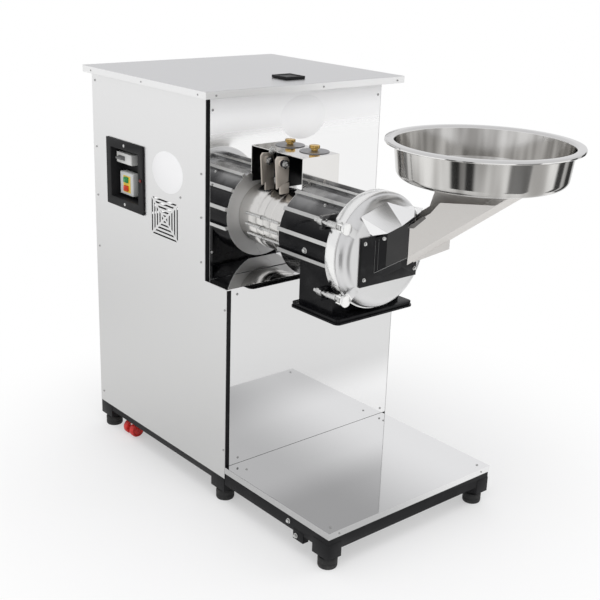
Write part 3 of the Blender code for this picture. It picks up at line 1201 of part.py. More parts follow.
def guard():
    """The sheet guard over the neck, open on its left, with the grease cup on top."""
    x0, x1 = GUARD_X0, GUARD_X0 + GUARD_WIDTH
    front, back = CHAMBER_BACK + 0.003, STEP_DEPTH - GAP
    bm = bmesh.new()
    box_into(bm, (x0, front, AXIS_Z + GUARD_SKIRT), (x1, back, GUARD_TOP))
    away = [face for face in bm.faces if any(facing(face, way) for way in (-Z_AXIS, Y_AXIS, -X_AXIS))]
    bmesh.ops.delete(bm, geom=away, context="FACES")
    mesh = bpy.data.meshes.new("guard_box")
    bm.to_mesh(mesh)
    bm.free()
    box = place("guard_box", mesh, "mirror")
    wall = box.modifiers.new("sheet", "SOLIDIFY")
    wall.thickness = GUARD_SHEET
    wall.offset = -1.0
    wall.use_even_offset = True
    cut(box, rod("neck_room", (AXIS_X, front - 0.02, AXIS_Z), (AXIS_X, back + 0.02, AXIS_Z), NECK_RADIUS + GAP,
                 None, 64))
    x, y = x0 + GUARD_WIDTH * 0.7, STEP_DEPTH - CUP_SETBACK
    cut(box, rod("cup_hole", (x, y, GUARD_TOP - 0.01), (x, y, GUARD_TOP + 0.01), CUP_STEM + GAP, None, 20))
    floor = GUARD_TOP + GAP
    profile = [(CUP_STEM + GAP, DISC_SHEET), (DISC_RADIUS, DISC_SHEET), (DISC_RADIUS, 0.0), (CUP_STEM + GAP, 0.0)]
    turned("cup_washer", profile, (x, y, floor), (0, 0, 1), "steel", 24, closed=True)
    seat = floor + DISC_SHEET + GAP
    waist = CUP_RADIUS * 0.65
    profile = [(0.0, CUP_HEIGHT), (CUP_RADIUS * 0.9, CUP_HEIGHT), (CUP_RADIUS, CUP_HEIGHT * 0.93),
               (CUP_RADIUS, CUP_HEIGHT * 0.45), (waist, CUP_HEIGHT * 0.4), (waist, 0.0), (CUP_STEM, 0.0),
               (CUP_STEM, -0.014), (0.0, -0.014)]
    turned("grease_cup", profile, (x, y, seat), (0, 0, 1), "brass", 16)
    foot = [(AXIS_X + (NECK_RADIUS + GAP) * math.cos(math.radians(angle)),
             AXIS_Z + (NECK_RADIUS + GAP) * math.sin(math.radians(angle))) for angle in (105, 110, 115, 120, 125)]
    loop = [(AXIS_X - 0.026, AXIS_Z + 0.152)] + foot + [(AXIS_X - 0.066, AXIS_Z + 0.156),
                                                        (AXIS_X - 0.060, AXIS_Z + 0.163),
                                                        (AXIS_X - 0.032, AXIS_Z + 0.160)]
    plate = outline("lug_plate", [loop], LUG_PLATE / 2, "zinc", (0, LUG_PLATE_Y, 0), FACING_FRONT)
    x, z = AXIS_X - 0.049, AXIS_Z + 0.147
    half = LUG_PLATE / 2 + LUG_BOLT
    join(plate, rod("lug_bolt", (x, LUG_PLATE_Y - half, z), (x, LUG_PLATE_Y + half, z), LUG_BOLT * 1.9, None, 18))


def controls():
    """The recessed tray in the left panel, with the breaker, the push-button station and a lamp."""
    y0, y1 = RECESS_Y0, RECESS_Y0 + RECESS_WIDTH
    z0, z1 = RECESS_Z0, RECESS_Z0 + RECESS_HEIGHT
    tray = BEZEL / 2 + GAP
    rim = block("control_bezel", (-BEZEL_PROUD, y0, z0), (-GAP, y1, z1), "black_plastic", round_edge=0.002)
    join(rim, boxes("tray", [((-BEZEL_PROUD + 0.0015, y0 + tray, z0 + tray), (RECESS_DEPTH, y1 - tray, z1 - tray))]))
    cut(rim, boxes("tray_pocket", [((-0.02, y0 + BEZEL, z0 + BEZEL),
                                    (RECESS_DEPTH - POCKET_WALL, y1 - BEZEL, z1 - BEZEL))]))
    floor = RECESS_DEPTH - POCKET_WALL - GAP
    y, z = y0 + BEZEL + BREAKER_FROM_SIDE, z1 - BEZEL - BREAKER_HEIGHT - BREAKER_FROM_TOP
    face = floor - BREAKER_DEPTH
    breaker = block("breaker", (face, y, z), (floor, y + BREAKER_WIDTH, z + BREAKER_HEIGHT), "white_plastic",
                    round_edge=0.001)
    middle = z + BREAKER_HEIGHT / 2
    ends = (y + BREAKER_WIDTH * 0.45, y + BREAKER_WIDTH * 0.85)
    cut(breaker, rod("toggle_room", (face, ends[0] - GAP, middle), (face, ends[1] + GAP, middle),
                     TOGGLE_RADIUS + GAP, None, 24))
    toggle = rod("breaker_toggle", (face, ends[0], middle), (face, ends[1], middle), TOGGLE_RADIUS,
                 "black_plastic", 24)
    lever = boxes("toggle_lever", [((face - TOGGLE_REACH, ends[0] + 0.001, middle - 0.0025),
                                    (face, ends[1] - 0.001, middle + 0.0025))])
    join(toggle, lever)
    y, z = y0 + BEZEL + STATION_FROM_SIDE, z0 + BEZEL + STATION_FROM_BOTTOM
    face = floor - STATION_DEPTH
    station = block("button_station", (face, y, z), (floor, y + STATION_WIDTH, z + STATION_HEIGHT),
                    "grey_plastic", round_edge=0.002)
    rooms = []
    half_y, half_z = BUTTON_WIDTH / 2, BUTTON_HEIGHT / 2
    middle_y = y + STATION_WIDTH / 2
    for name, share, colour in (("start_button", 0.68, "green"), ("stop_button", 0.30, "red")):
        middle = z + STATION_HEIGHT * share
        depth = face + BUTTON_TRAVEL + 0.004
        rooms.append(((face - 0.01, middle_y - half_y - GAP, middle - half_z - GAP),
                      (depth + GAP + BUTTON_TRAVEL, middle_y + half_y + GAP, middle + half_z + GAP)))
        block(name, (face - BUTTON_PROUD, middle_y - half_y, middle - half_z),
              (depth, middle_y + half_y, middle + half_z), colour, (face, middle_y, middle), 0.0012)
    cut(station, boxes("button_rooms", rooms))
    y, z = y0 + BEZEL / 2, z0 + RECESS_HEIGHT / 2
    cut(rim, rod("lamp_hole", (-0.02, y, z), (-2 * GAP, y, z), LAMP_RADIUS * 0.6 + GAP, None, 16))
    profile = [(0.0, BEZEL_PROUD + 0.004), (LAMP_RADIUS * 0.6, BEZEL_PROUD + 0.0036),
               (LAMP_RADIUS, BEZEL_PROUD + 0.0015), (LAMP_RADIUS, BEZEL_PROUD + GAP),
               (LAMP_RADIUS * 0.6, BEZEL_PROUD + GAP), (LAMP_RADIUS * 0.6, 3 * GAP), (0.0, 3 * GAP)]
    turned("lamp", profile, (0, y, z), (-1, 0, 0), "red", 20)


base_frame()
feet()
castors()
cabinet_frame()
side_panels()
front_panels()
rear_panel()
cable_gland()
cover()
platform()
chamber()
sieve()
neck_and_bearings()
drive()
motor()
lid_group()
guard()
controls()
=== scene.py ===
import math

import bmesh
import bpy
from mathutils import Matrix, Vector


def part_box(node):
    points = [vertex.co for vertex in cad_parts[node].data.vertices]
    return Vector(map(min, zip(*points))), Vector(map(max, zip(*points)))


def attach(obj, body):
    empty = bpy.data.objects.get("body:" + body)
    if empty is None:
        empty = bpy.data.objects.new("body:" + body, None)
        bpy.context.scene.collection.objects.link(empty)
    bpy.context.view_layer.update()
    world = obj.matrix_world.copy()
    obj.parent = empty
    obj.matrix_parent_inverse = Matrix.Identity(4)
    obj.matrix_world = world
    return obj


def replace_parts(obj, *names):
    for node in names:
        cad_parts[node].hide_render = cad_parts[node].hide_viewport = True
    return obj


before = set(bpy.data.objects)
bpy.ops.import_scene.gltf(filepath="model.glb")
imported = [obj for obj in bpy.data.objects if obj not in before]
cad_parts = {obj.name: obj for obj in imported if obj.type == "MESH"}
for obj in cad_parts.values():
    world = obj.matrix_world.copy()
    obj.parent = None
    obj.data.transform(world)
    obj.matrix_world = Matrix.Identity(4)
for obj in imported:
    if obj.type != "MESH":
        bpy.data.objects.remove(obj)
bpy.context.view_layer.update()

# Base frame
# A ring of square steel tube under the cabinet and one under the platform, welded together with six short
# legs. It is powder-coated in satin black, which rounds the edges and has a fine orange peel.

corner = Vector((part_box("side_panel_left")[0].x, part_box("lower_front_panel")[0].y, 0.0))


def spot(x, y, z):
    """A point given in millimetres from the cabinet's lower front left corner."""
    return corner + Vector((x, y, z)) / 1000


class Wire:
    """A shader value that sums and products can be written on."""

    def __init__(self, finish, socket):
        self.finish = finish
        self.socket = socket

    def maths(self, operation, *others):
        return self.finish.node("ShaderNodeMath", {"operation": operation}, dict(enumerate((self, *others))))

    def __add__(self, other):
        return self.maths("ADD", other)

    def __sub__(self, other):
        return self.maths("SUBTRACT", other)

    def __mul__(self, other):
        return self.maths("MULTIPLY", other)

    def __truediv__(self, other):
        return self.maths("DIVIDE", other)

    def __rsub__(self, other):
        return self.finish.node("ShaderNodeMath", {"operation": "SUBTRACT"}, {0: other, 1: self})

    def __gt__(self, other):
        return self.maths("GREATER_THAN", other)

    def __lt__(self, other):
        return self.maths("LESS_THAN", other)

    __radd__ = __add__
    __rmul__ = __mul__

    def between(self, low, high):
        """Nought below the low value, one above the high one, and a smooth rise from one to the other."""
        return self.finish.node("ShaderNodeMapRange", {"interpolation_type": "SMOOTHSTEP"},
                                {"Value": self, "From Min": low, "From Max": high})


class Finish:
    """One surface finish and the nodes that make it."""

    def __init__(self, name, colour=(0.5, 0.5, 0.5), roughness=0.5, metallic=0.0, **fixed):
        self.material = bpy.data.materials.new(name)
        self.material.use_nodes = True
        self.tree = self.material.node_tree
        self.shader = self.tree.nodes["Principled BSDF"]
        self.material.diffuse_color = (*colour, 1.0)
        self.set("Base Color", (*colour, 1.0))
        self.set("Roughness", roughness)
        self.set("Metallic", metallic)
        for socket, value in fixed.items():
            self.set(socket.replace("_", " "), value)

    def node(self, kind, settings=None, inputs=None, output=0):
        node = self.tree.nodes.new(kind)
        for setting, value in (settings or {}).items():
            if setting == "stops":
                self.stops(node.color_ramp, value)
            else:
                setattr(node, setting, value)
        for socket, value in (inputs or {}).items():
            self.feed(node.inputs[socket], value)
        return Wire(self, node.outputs[output])

    def stops(self, ramp, stops):
        for position, grey in stops:
            stop = ramp.elements[0] if position == stops[0][0] else ramp.elements.new(position)
            stop.position = position
            stop.color = (grey, grey, grey, 1.0)
        ramp.elements.remove(ramp.elements[-1])

    def feed(self, socket, value):
        if isinstance(value, Wire):
            self.tree.links.new(value.socket, socket)
        else:
            socket.default_value = value

    def set(self, socket, value):
        self.feed(self.shader.inputs[socket], value)

    def place(self):
        """The point on the piece, in metres."""
        return self.node("ShaderNodeTexCoord", output="Object")

    def apart(self):
        """The point's three coordinates."""
        parts = self.tree.nodes.new("ShaderNodeSeparateXYZ")
        self.feed(parts.inputs[0], self.place())
        return [Wire(self, parts.outputs[index]) for index in range(3)]

    def noise(self, scale, detail=2.0, stretch=(1.0, 1.0, 1.0), roughness=0.5):
        """A noise round a half, with this many blotches to a metre, squeezed along each axis as asked."""
        where = self.node("ShaderNodeMapping", {}, {"Vector": self.place(), "Scale": stretch})
        return self.node("ShaderNodeTexNoise", {},
                         {"Vector": where, "Scale": scale, "Detail": detail, "Roughness": roughness})

    def mix(self, share, first, second):
        """One colour turning into another."""
        return self.node("ShaderNodeMix", {"data_type": "RGBA"},
                         {0: share, 6: (*first, 1.0) if isinstance(first, tuple) else first,
                          7: (*second, 1.0) if isinstance(second, tuple) else second}, output=2)

    def tone(self, share, first, second):
        """The surface colour turns from one into another."""
        self.set("Base Color", self.mix(share, first, second))

    def patchy(self, least, scale, detail, spread):
        """The roughness varies in patches over the surface."""
        self.set("Roughness", least + self.noise(scale, detail) * spread)

    def bump(self, height, strength, distance):
        self.set("Normal", self.node("ShaderNodeBump", {},
                                     {"Height": height, "Strength": strength, "Distance": distance}))


def coat(piece, finish):
    """The piece gets one finish all over."""
    piece.data.materials.clear()
    piece.data.materials.append(finish.material)


def coat_node(name, finish):
    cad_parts[name].data.materials.clear()
    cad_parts[name].data.materials.append(finish.material)


def set_down(name, bm, body, finish, smooth=35.0):
    """A finished mesh becomes a piece that rides on its body."""
    mesh = bpy.data.meshes.new(name)
    bm.to_mesh(mesh)
    bm.free()
    mesh.shade_smooth()
    mesh.set_sharp_from_angle(angle=math.radians(smooth))
    piece = bpy.data.objects.new(name, mesh)
    bpy.context.scene.collection.objects.link(piece)
    coat(piece, finish)
    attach(piece, body)
    return piece


def soften(bm, width, segments=2, sharper=30.0):
    """Every edge sharper than the angle is rounded off."""
    edges = [edge for edge in bm.edges if edge.is_manifold and edge.calc_face_angle() > math.radians(sharper)]
    bmesh.ops.bevel(bm, geom=edges, offset=width, offset_type="OFFSET", segments=segments, profile=0.5,
                    affect="EDGES", clamp_overlap=True, material=-1)


def dressed(node, width, body, finish, segments=2, smooth=35.0, sharper=30.0):
    """A copy of a CAD node with its edges rounded, which stands for it."""
    bm = bmesh.new()
    bm.from_mesh(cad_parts[node].data)
    bmesh.ops.remove_doubles(bm, verts=bm.verts, dist=0.000002)
    bmesh.ops.dissolve_limit(bm, angle_limit=math.radians(0.5), verts=bm.verts, edges=bm.edges)
    soften(bm, width, segments, sharper)
    piece = set_down(node + "_dressed", bm, body, finish, smooth)
    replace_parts(piece, node)
    return piece


powder_black = Finish("black powder coat", (0.008, 0.008, 0.009), 0.38, Specular_IOR_Level=0.14)
peel = powder_black.noise(900.0, 2.0)
dust = powder_black.noise(14.0, 4.0)
powder_black.set("Roughness", 0.3 + dust * 0.2)
powder_black.tone(dust.between(0.45, 0.8), (0.007, 0.007, 0.008), (0.017, 0.017, 0.018))
powder_black.bump(peel, 0.25, 0.0004)
dressed("base_frame", 0.0012, "cabinet", powder_black, 3)


def turn(bm, profile, centre, axis=(0, 0, 1), steps=64, closed=False):
    """A profile of (radius, height) points is spun round the axis, and closed where its ends touch it."""
    before = set(bm.verts)
    points = [bm.verts.new((radius / 1000, 0.0, height / 1000)) for radius, height in profile]
    made = list(points)
    for first, second in zip(points, points[1:]):
        made.append(bm.edges.new((first, second)))
    if closed:
        made.append(bm.edges.new((points[-1], points[0])))
    bmesh.ops.spin(bm, geom=made, cent=(0, 0, 0), axis=(0, 0, 1), dvec=(0, 0, 0), angle=math.tau, steps=steps,
                   use_merge=True)
    verts = [vert for vert in bm.verts if vert not in before]
    bmesh.ops.remove_doubles(bm, verts=verts, dist=0.000001)
    verts = [vert for vert in bm.verts if vert not in before]
    lean = Vector((0, 0, 1)).rotation_difference(Vector(axis)).to_matrix().to_4x4()
    bmesh.ops.transform(bm, matrix=Matrix.Translation(centre) @ lean, verts=verts)


def turned(profile, centre, axis=(0, 0, 1), steps=64, closed=False, round_edge=0.0, segments=2, sharper=30.0):
    """A turned piece in a mesh of its own, with its sharp edges rounded."""
    bm = bmesh.new()
    turn(bm, profile, centre, axis, steps, closed)
    bmesh.ops.recalc_face_normals(bm, faces=bm.faces)
    if round_edge:
        soften(bm, round_edge, segments, sharper)
    return bm


def gather(bm, other):
    """Another mesh is added to this one."""
    mesh = bpy.data.meshes.new("gathered")
    other.to_mesh(mesh)
    other.free()
    bm.from_mesh(mesh)
    bpy.data.meshes.remove(mesh)
    return bm


def hex_bolt(place, out, across=8.0, height=4.0, washer=6.5, stub=0.0):
    """A hexagon head on its washer, facing out; a stub of thread stands out of a nut."""
    bm = bmesh.new()
    head = across / 2 / math.cos(math.radians(30)) / 1000
    made = bmesh.ops.create_cone(bm, cap_ends=True, segments=6, radius1=head, radius2=head,
                                 depth=height / 1000)
    bmesh.ops.translate(bm, vec=(0, 0, (height / 2 + 1.0) / 1000), verts=made["verts"])
    top = [face for face in bm.faces if face.normal.z > 0.9]
    ring = [edge for face in top for edge in face.edges]
    bmesh.ops.bevel(bm, geom=ring, offset=0.0007, offset_type="OFFSET", segments=2, profile=0.5,
                    affect="EDGES", clamp_overlap=True, material=-1)
    gather(bm, turned([(0, 1.0), (washer - 0.3, 1.0), (washer, 0.7), (washer, 0.0), (0, 0.0)], Vector(),
                      steps=24))
    if stub:
        gather(bm, turned([(0, 1.0 + height + stub), (across * 0.26, 1.0 + height + stub),
                           (across * 0.31, 0.6 + height + stub), (across * 0.31, height), (0, height)],
                          Vector(), steps=16))
    lean = Vector((0, 0, 1)).rotation_difference(Vector(out)).to_matrix().to_4x4()
    bmesh.ops.transform(bm, matrix=Matrix.Translation(place) @ lean, verts=bm.verts)
    return bm


zinc = Finish("bright zinc plate", (0.66, 0.66, 0.65), 0.24, 1.0)
zinc.patchy(0.16, 260.0, 3.0, 0.22)
zinc.tone(zinc.noise(90.0, 3.0), (0.56, 0.56, 0.55), (0.76, 0.76, 0.75))
zinc.bump(zinc.noise(1500.0, 2.0), 0.12, 0.0003)
rail_bolts = hex_bolt(spot(1.5, -235, 66), (-1, 0, 0), 8.0, 3.5, 6.0, 1.5)
gather(rail_bolts, hex_bolt(spot(0.7, -262, 42), (-1, 0, 0), 8.0, 3.5, 6.0, 1.5))
set_down("rail_bolts", rail_bolts, "cabinet", zinc)

# Rubber feet
# Six round levelling feet of moulded black rubber, screwed into the legs from below. Each is turned in one
# profile, with a shoulder above, a groove round its middle and a drawn-in gripping edge below.

foot_rubber = Finish("foot rubber", (0.014, 0.014, 0.014), 0.75)
scuff = foot_rubber.noise(60.0, 5.0)
foot_rubber.tone(scuff.between(0.5, 0.75), (0.012, 0.012, 0.012), (0.04, 0.039, 0.038))
foot_rubber.set("Roughness", 0.55 + scuff * 0.3)
foot_rubber.bump(foot_rubber.noise(1800.0, 2.0), 0.3, 0.0003)
for corner_name in ("front_left", "front_right", "middle_left", "middle_right", "rear_left", "rear_right"):
    low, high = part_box("foot_" + corner_name)
    centre = Vector(((low.x + high.x) / 2, (low.y + high.y) / 2, 0.0))
    tall, wide = high.z * 1000, (high.x - low.x) * 500
    shares = [(0, 1), (0.62, 1), (0.62, 0.86), (0.92, 0.82), (1, 0.70), (1, 0.46), (0.955, 0.43), (0.955, 0.36),
              (1, 0.33), (0.99, 0.10), (0.93, 0), (0, 0)]
    foot = turned([(wide * out, tall * above) for out, above in shares], centre, steps=48, round_edge=0.0004)
    foot_piece = set_down("rubber_foot_" + corner_name, foot, "cabinet", foot_rubber)
    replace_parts(foot_piece, "foot_" + corner_name)

# Castors
# A zinc-plated fork with a red moulded twin wheel under each side rail, just clear of the floor. The wheels
# are turned pieces of red nylon, and roll on the fork's pin.

red_nylon = Finish("red nylon", (0.62, 0.018, 0.012), 0.38, Specular_IOR_Level=0.5)
wear = red_nylon.noise(120.0, 4.0)
red_nylon.tone(wear.between(0.4, 0.8), (0.66, 0.020, 0.014), (0.40, 0.014, 0.010))
red_nylon.set("Roughness", 0.3 + wear * 0.25)
red_nylon.bump(wear, 0.15, 0.0004)
for side in ("left", "right"):
    dressed("castor_fork_" + side, 0.0008, "cabinet", zinc)
    low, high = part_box("castor_wheel_" + side)
    middle = (low + high) / 2
    rim = (high.z - low.z) * 500
    half = (high.y - low.y) * 500
    wheel = [(0, half), (5, half), (6, half - 2), (8, half - 2.5), (rim * 0.62, half - 4.0),
             (rim * 0.72, half - 2.2), (rim * 0.88, half - 2), (rim, half - 6), (rim, 9.3), (rim * 0.86, 6.3), (4, 6.3)]
    wheel += [(radius, -height) for radius, height in reversed(wheel)]
    tread = turned(wheel, middle, (0, 1, 0), 56, round_edge=0.0005)
    wheel_piece = set_down("wheel_" + side, tread, side + "_castor", red_nylon)
    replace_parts(wheel_piece, "castor_wheel_" + side)

# Cabinet posts
# The welded frame inside the cabinet, powder-coated like the base. It shows only as black strips in the
# notched front corners.

dressed("cabinet_frame", 0.0010, "cabinet", powder_black, 2)

# Side panels
# Stepped sheets of brushed stainless steel, screwed to the posts. The grain runs upright, and the left
# one has a square air inlet of nested slots and an oval label, which is left blank.

satin_sheet = Finish("satin stainless sheet", (0.66, 0.66, 0.65), 0.36, 1.0)
grain = satin_sheet.noise(220.0, 3.0, (1.0, 6.0, 0.12))
cloud = satin_sheet.noise(2.2, 3.0)
up = satin_sheet.apart()[2]
# Darker towards the foot, lighter towards the top: painted shade and painted light; grain and cloud are its own.
painted_shade_low_tone = satin_sheet.mix(grain * 0.5 + cloud * 0.5, (0.59, 0.59, 0.585), (0.65, 0.65, 0.645))
painted_light_high_tone = satin_sheet.mix(grain * 0.5 + cloud * 0.5, (0.82, 0.82, 0.82), (0.90, 0.90, 0.90))
satin_sheet.tone(up.between(0.05, 1.05), painted_shade_low_tone, painted_light_high_tone)
satin_sheet.set("Roughness", 0.28 + grain * 0.10 + cloud * 0.08)
satin_sheet.bump(grain, 0.06, 0.0003)
for side in ("left", "right"):
    coat_node("side_panel_" + side, satin_sheet)


def pan_screws(name, places, out, radius=3.6, body="cabinet", finish=None):
    """Domed screw heads with a star recess, all facing out."""
    bm = bmesh.new()
    for place in places:
        head = turned([(radius * 0.5, 1.7), (radius * 0.78, 1.45), (radius * 0.96, 0.8), (radius, 0.0)],
                      Vector(), steps=16)
        rim = [edge for edge in head.edges if edge.is_boundary and edge.verts[0].co.z > 0.0015]
        bowl_face = bmesh.ops.contextual_create(head, geom=rim)["faces"]
        bmesh.ops.inset_region(head, faces=bowl_face, thickness=0.0001, depth=0.0)
        floor = bmesh.ops.extrude_discrete_faces(head, faces=bowl_face)["faces"]
        for number, vert in enumerate(floor[0].verts):
            reach = 0.16 if number % 4 in (1, 2) else 0.42
            flat = Vector((vert.co.x, vert.co.y)).normalized() * radius * reach / 1000
            vert.co = (flat.x, flat.y, 0.0006)
        base = [edge for edge in head.edges if edge.is_boundary and edge.verts[0].co.z < 0.0001]
        bmesh.ops.contextual_create(head, geom=base)
        bmesh.ops.recalc_face_normals(head, faces=head.faces)
        lean = Vector((0, 0, 1)).rotation_difference(Vector(out)).to_matrix().to_4x4()
        bmesh.ops.transform(head, matrix=Matrix.Translation(place) @ lean, verts=head.verts)
        gather(bm, head)
    return set_down(name, bm, body, finish or screw_steel, 30.0)


screw_steel = Finish("screw steel", (0.42, 0.42, 0.42), 0.30, 1.0)
screw_steel.patchy(0.2, 400.0, 2.0, 0.25)
screw_steel.tone(screw_steel.noise(300.0, 2.0), (0.30, 0.30, 0.30), (0.58, 0.58, 0.57))
side_places = [spot(0, 550, z) for z in (928, 764, 640, 505, 96)]
side_places += [spot(0, 97, z) for z in (778, 679, 575)] + [spot(0, 179, 708)]
side_places += [spot(0, 5.5, z) for z in (486, 140)]
pan_screws("left_panel_screws", side_places, (-1, 0, 0), 2.8)
pan_screws("right_panel_screws", [spot(526, 550, z) for z in (928, 764, 640, 505, 96)] +
           [spot(526, 97, z) for z in (778, 679, 575)] + [spot(526, 8, z) for z in (486, 140)],
           (1, 0, 0), 2.8)

blank_label = Finish("blank white label", (0.94, 0.94, 0.94), 0.35)
blank_label.patchy(0.3, 40.0, 2.0, 0.15)
blank_label.tone(blank_label.noise(8.0, 2.0), (0.93, 0.93, 0.93), (0.96, 0.96, 0.96))
middle = spot(0, 232, 756)
label = turned([(0, 0.35), (48.2, 0.35), (48.5, 0.2), (48.5, 0.02), (0, 0.02)], middle, (-1, 0, 0), 96)
bmesh.ops.scale(label, vec=(1.0, 1.30, 1.0), space=Matrix.Translation(-middle), verts=label.verts)
set_down("side_label", label, "cabinet", blank_label)

# Front panels
# Mirror-polished sheets, screwed to the posts: the upper one stands back round the neck, is hazed towards
# its top, where it is also painted white as painted light, and carries a blank oval label, and the lower one
# folds into a shelf.


def mirrored(name, grey, haze):
    """Mirror sheet with the slow waves that rolling leaves and a light haze of handling."""
    sheet = Finish(name, (grey, grey, grey), haze, 1.0)
    waves = sheet.noise(3.0, 2.0, (1.0, 1.0, 0.5))
    sheet.set("Roughness", haze + sheet.noise(30.0, 3.0) * 0.03)
    sheet.tone(waves, (grey - 0.015,) * 3, (grey + 0.015,) * 3)
    sheet.bump(waves, 0.03, 0.004)
    return sheet


mirror_sheet = mirrored("mirror stainless sheet", 0.90, 0.012)
_, _, up = mirror_sheet.apart()
# Its top is painted white and less metallic, painted light against the cover's shade; the rougher haze is real.
haze_and_painted_light = up.between(0.825, 0.905)
mirror_sheet.set("Roughness", 0.012 + mirror_sheet.noise(30.0, 3.0) * 0.02 + haze_and_painted_light * 0.5)
mirror_sheet.tone(haze_and_painted_light, (0.90, 0.90, 0.90), (1.0, 1.0, 1.0))
mirror_sheet.set("Metallic", 1 - haze_and_painted_light * 0.8)
lower_sheet = mirrored("lower mirror sheet", 0.73, 0.02)
_, _, up = lower_sheet.apart()
# Lighter at its foot and darker above: painted reflection of the bright platform in the lower sheet.
lower_sheet.tone(up.between(0.17, 0.28), (0.96, 0.96, 0.96), (0.71, 0.71, 0.71))
dressed("upper_front_panel", 0.0002, "cabinet", mirror_sheet, 1, smooth=5.0)
dressed("lower_front_panel", 0.0004, "cabinet", lower_sheet, 2, smooth=5.0)
pan_screws("upper_panel_screws", [spot(19, 82, z) for z in (919, 755, 599)] + [spot(515, 82, 919)],
           (0, -1, 0), 3.0)
pan_screws("lower_panel_screws", [spot(38, 0, 112), spot(505, 0, 112), spot(30, 0, 520), spot(505, 0, 520)],
           (0, -1, 0), 3.0)
middle = spot(277, 82, 884)
label = turned([(0, 0.35), (50.7, 0.35), (51, 0.2), (51, 0.02), (0, 0.02)], middle, (0, -1, 0), 96)
bmesh.ops.scale(label, vec=(1.33, 1.0, 1.0), space=Matrix.Translation(-middle), verts=label.verts)
set_down("front_label", label, "cabinet", blank_label)

# Rear panel and cable gland
# A flat sheet with two groups of cooling slots, finished like the sides and screwed on at its edges, and
# the moulded gland where the mains cable goes in.

coat_node("rear_panel", satin_sheet)
pan_screws("rear_panel_screws", [spot(x, 565, z) for x in (20, 506) for z in (90, 330, 640, 930)],
           (0, 1, 0), 3.0)
moulded_black = Finish("black moulded plastic", (0.007, 0.007, 0.008), 0.42, Specular_IOR_Level=0.16)
moulded_black.patchy(0.34, 50.0, 3.0, 0.18)
moulded_black.tone(moulded_black.noise(25.0, 3.0), (0.006, 0.006, 0.007), (0.014, 0.014, 0.015))
moulded_black.bump(moulded_black.noise(2600.0, 2.0), 0.35, 0.0002)
dressed("cable_gland", 0.0006, "cabinet", moulded_black)

# Cover
# A folded lid of satin sheet that hangs over the cabinet on all sides, its lip held by small screws. The
# square black plug near its front closes a lifting eye's hole.

cover_sheet = Finish("cover sheet", (0.60, 0.60, 0.60), 0.34, 1.0)
streak = cover_sheet.noise(200.0, 3.0, (0.12, 5.0, 1.0))
haze = cover_sheet.noise(2.0, 3.0)
_, _, up = cover_sheet.apart()
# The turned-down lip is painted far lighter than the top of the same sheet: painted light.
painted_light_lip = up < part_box("cover")[1].z - 0.0008
top_tone = cover_sheet.mix(streak * 0.4 + haze * 0.6, (0.62, 0.62, 0.625), (0.70, 0.70, 0.705))
cover_sheet.tone(painted_light_lip, top_tone, (0.90, 0.90, 0.90))
cover_sheet.set("Roughness", 0.28 + streak * 0.10 + haze * 0.06)
cover_sheet.bump(streak, 0.05, 0.0003)
dressed("cover", 0.0006, "cabinet", cover_sheet, 2, smooth=5.0)
pan_screws("cover_side_screws", [spot(-23.2, y, 955.5) for y in (527, 301, 77)], (-1, 0, 0), 2.4)
pan_screws("cover_front_screws", [spot(x, 47, 955.5) for x in (3, 306, 544)], (0, -1, 0), 2.4)
pan_screws("cover_right_screws", [spot(568, y, 955.5) for y in (527, 301, 77)], (1, 0, 0), 2.4)
low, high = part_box("cover_plug")
plug = bmesh.new()
bmesh.ops.create_cube(plug, size=1.0)
bmesh.ops.scale(plug, vec=high - low, verts=plug.verts)
bmesh.ops.translate(plug, vec=(low + high) / 2, verts=plug.verts)
soften(plug, 0.0012, 3)
top = [max(plug.faces, key=lambda face: face.calc_center_median().z)]
bmesh.ops.inset_region(plug, faces=top, thickness=0.006, depth=0.0)
bmesh.ops.inset_region(plug, faces=top, thickness=0.0008, depth=-0.0016)
soften(plug, 0.0003, 1, 40)
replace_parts(set_down("square_plug", plug, "cabinet", moulded_black), "cover_plug")

# Platform
# A tray of polished sheet over the front rails, turned down at its edges and screwed at its corners. It is
# darker towards its left.

platform_sheet = mirrored("polished platform sheet", 0.86, 0.03)
across, _, _ = platform_sheet.apart()
# The colour darkens towards the sheet's left side.
darker_to_left = (across - corner.x).between(0.10, 0.44)
platform_sheet.tone(darker_to_left, (0.52, 0.52, 0.52), (0.87, 0.87, 0.87))
dressed("platform_plate", 0.0006, "cabinet", platform_sheet, 2, smooth=5.0)
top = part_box("platform_plate")[1].z * 1000
pan_screws("platform_screws", [spot(x, y, top) for x, y in ((36, -38), (21, -350), (482, -38), (490, -350))],
           (0, 0, 1), 3.2)
pan_screws("platform_lip_screws", [spot(30, -369, top - 8), spot(484, -369, top - 8)], (0, -1, 0), 2.2)

# Grinding chamber
# One iron casting: a barrel with straight ribs, the square outlet duct under it and a beaded flange at its
# mouth. It is enamelled gloss black, and the crests of the ribs are machined bright again.

axis_x, axis_z = 241.0, 642.0
enamel = Finish("black enamelled casting", (0.004, 0.004, 0.005), 0.3, Specular_IOR_Level=0.12)
across, along, up = enamel.apart()
away = across - (corner.x + axis_x / 1000)
rise = up - axis_z / 1000
radius = (away * away + rise * rise).maths("SQRT")
crest = ((radius - 0.1160).maths("ABSOLUTE") < 0.0007) * (rise > -0.049)
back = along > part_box("chamber_body")[1].y - 0.0006
crest = crest.maths("MAXIMUM", back)
skin = enamel.noise(55.0, 5.0)
smoke = enamel.noise(16.0, 4.0)
paint = enamel.mix(smoke.between(0.42, 0.75), (0.003, 0.003, 0.004), (0.014, 0.014, 0.015))
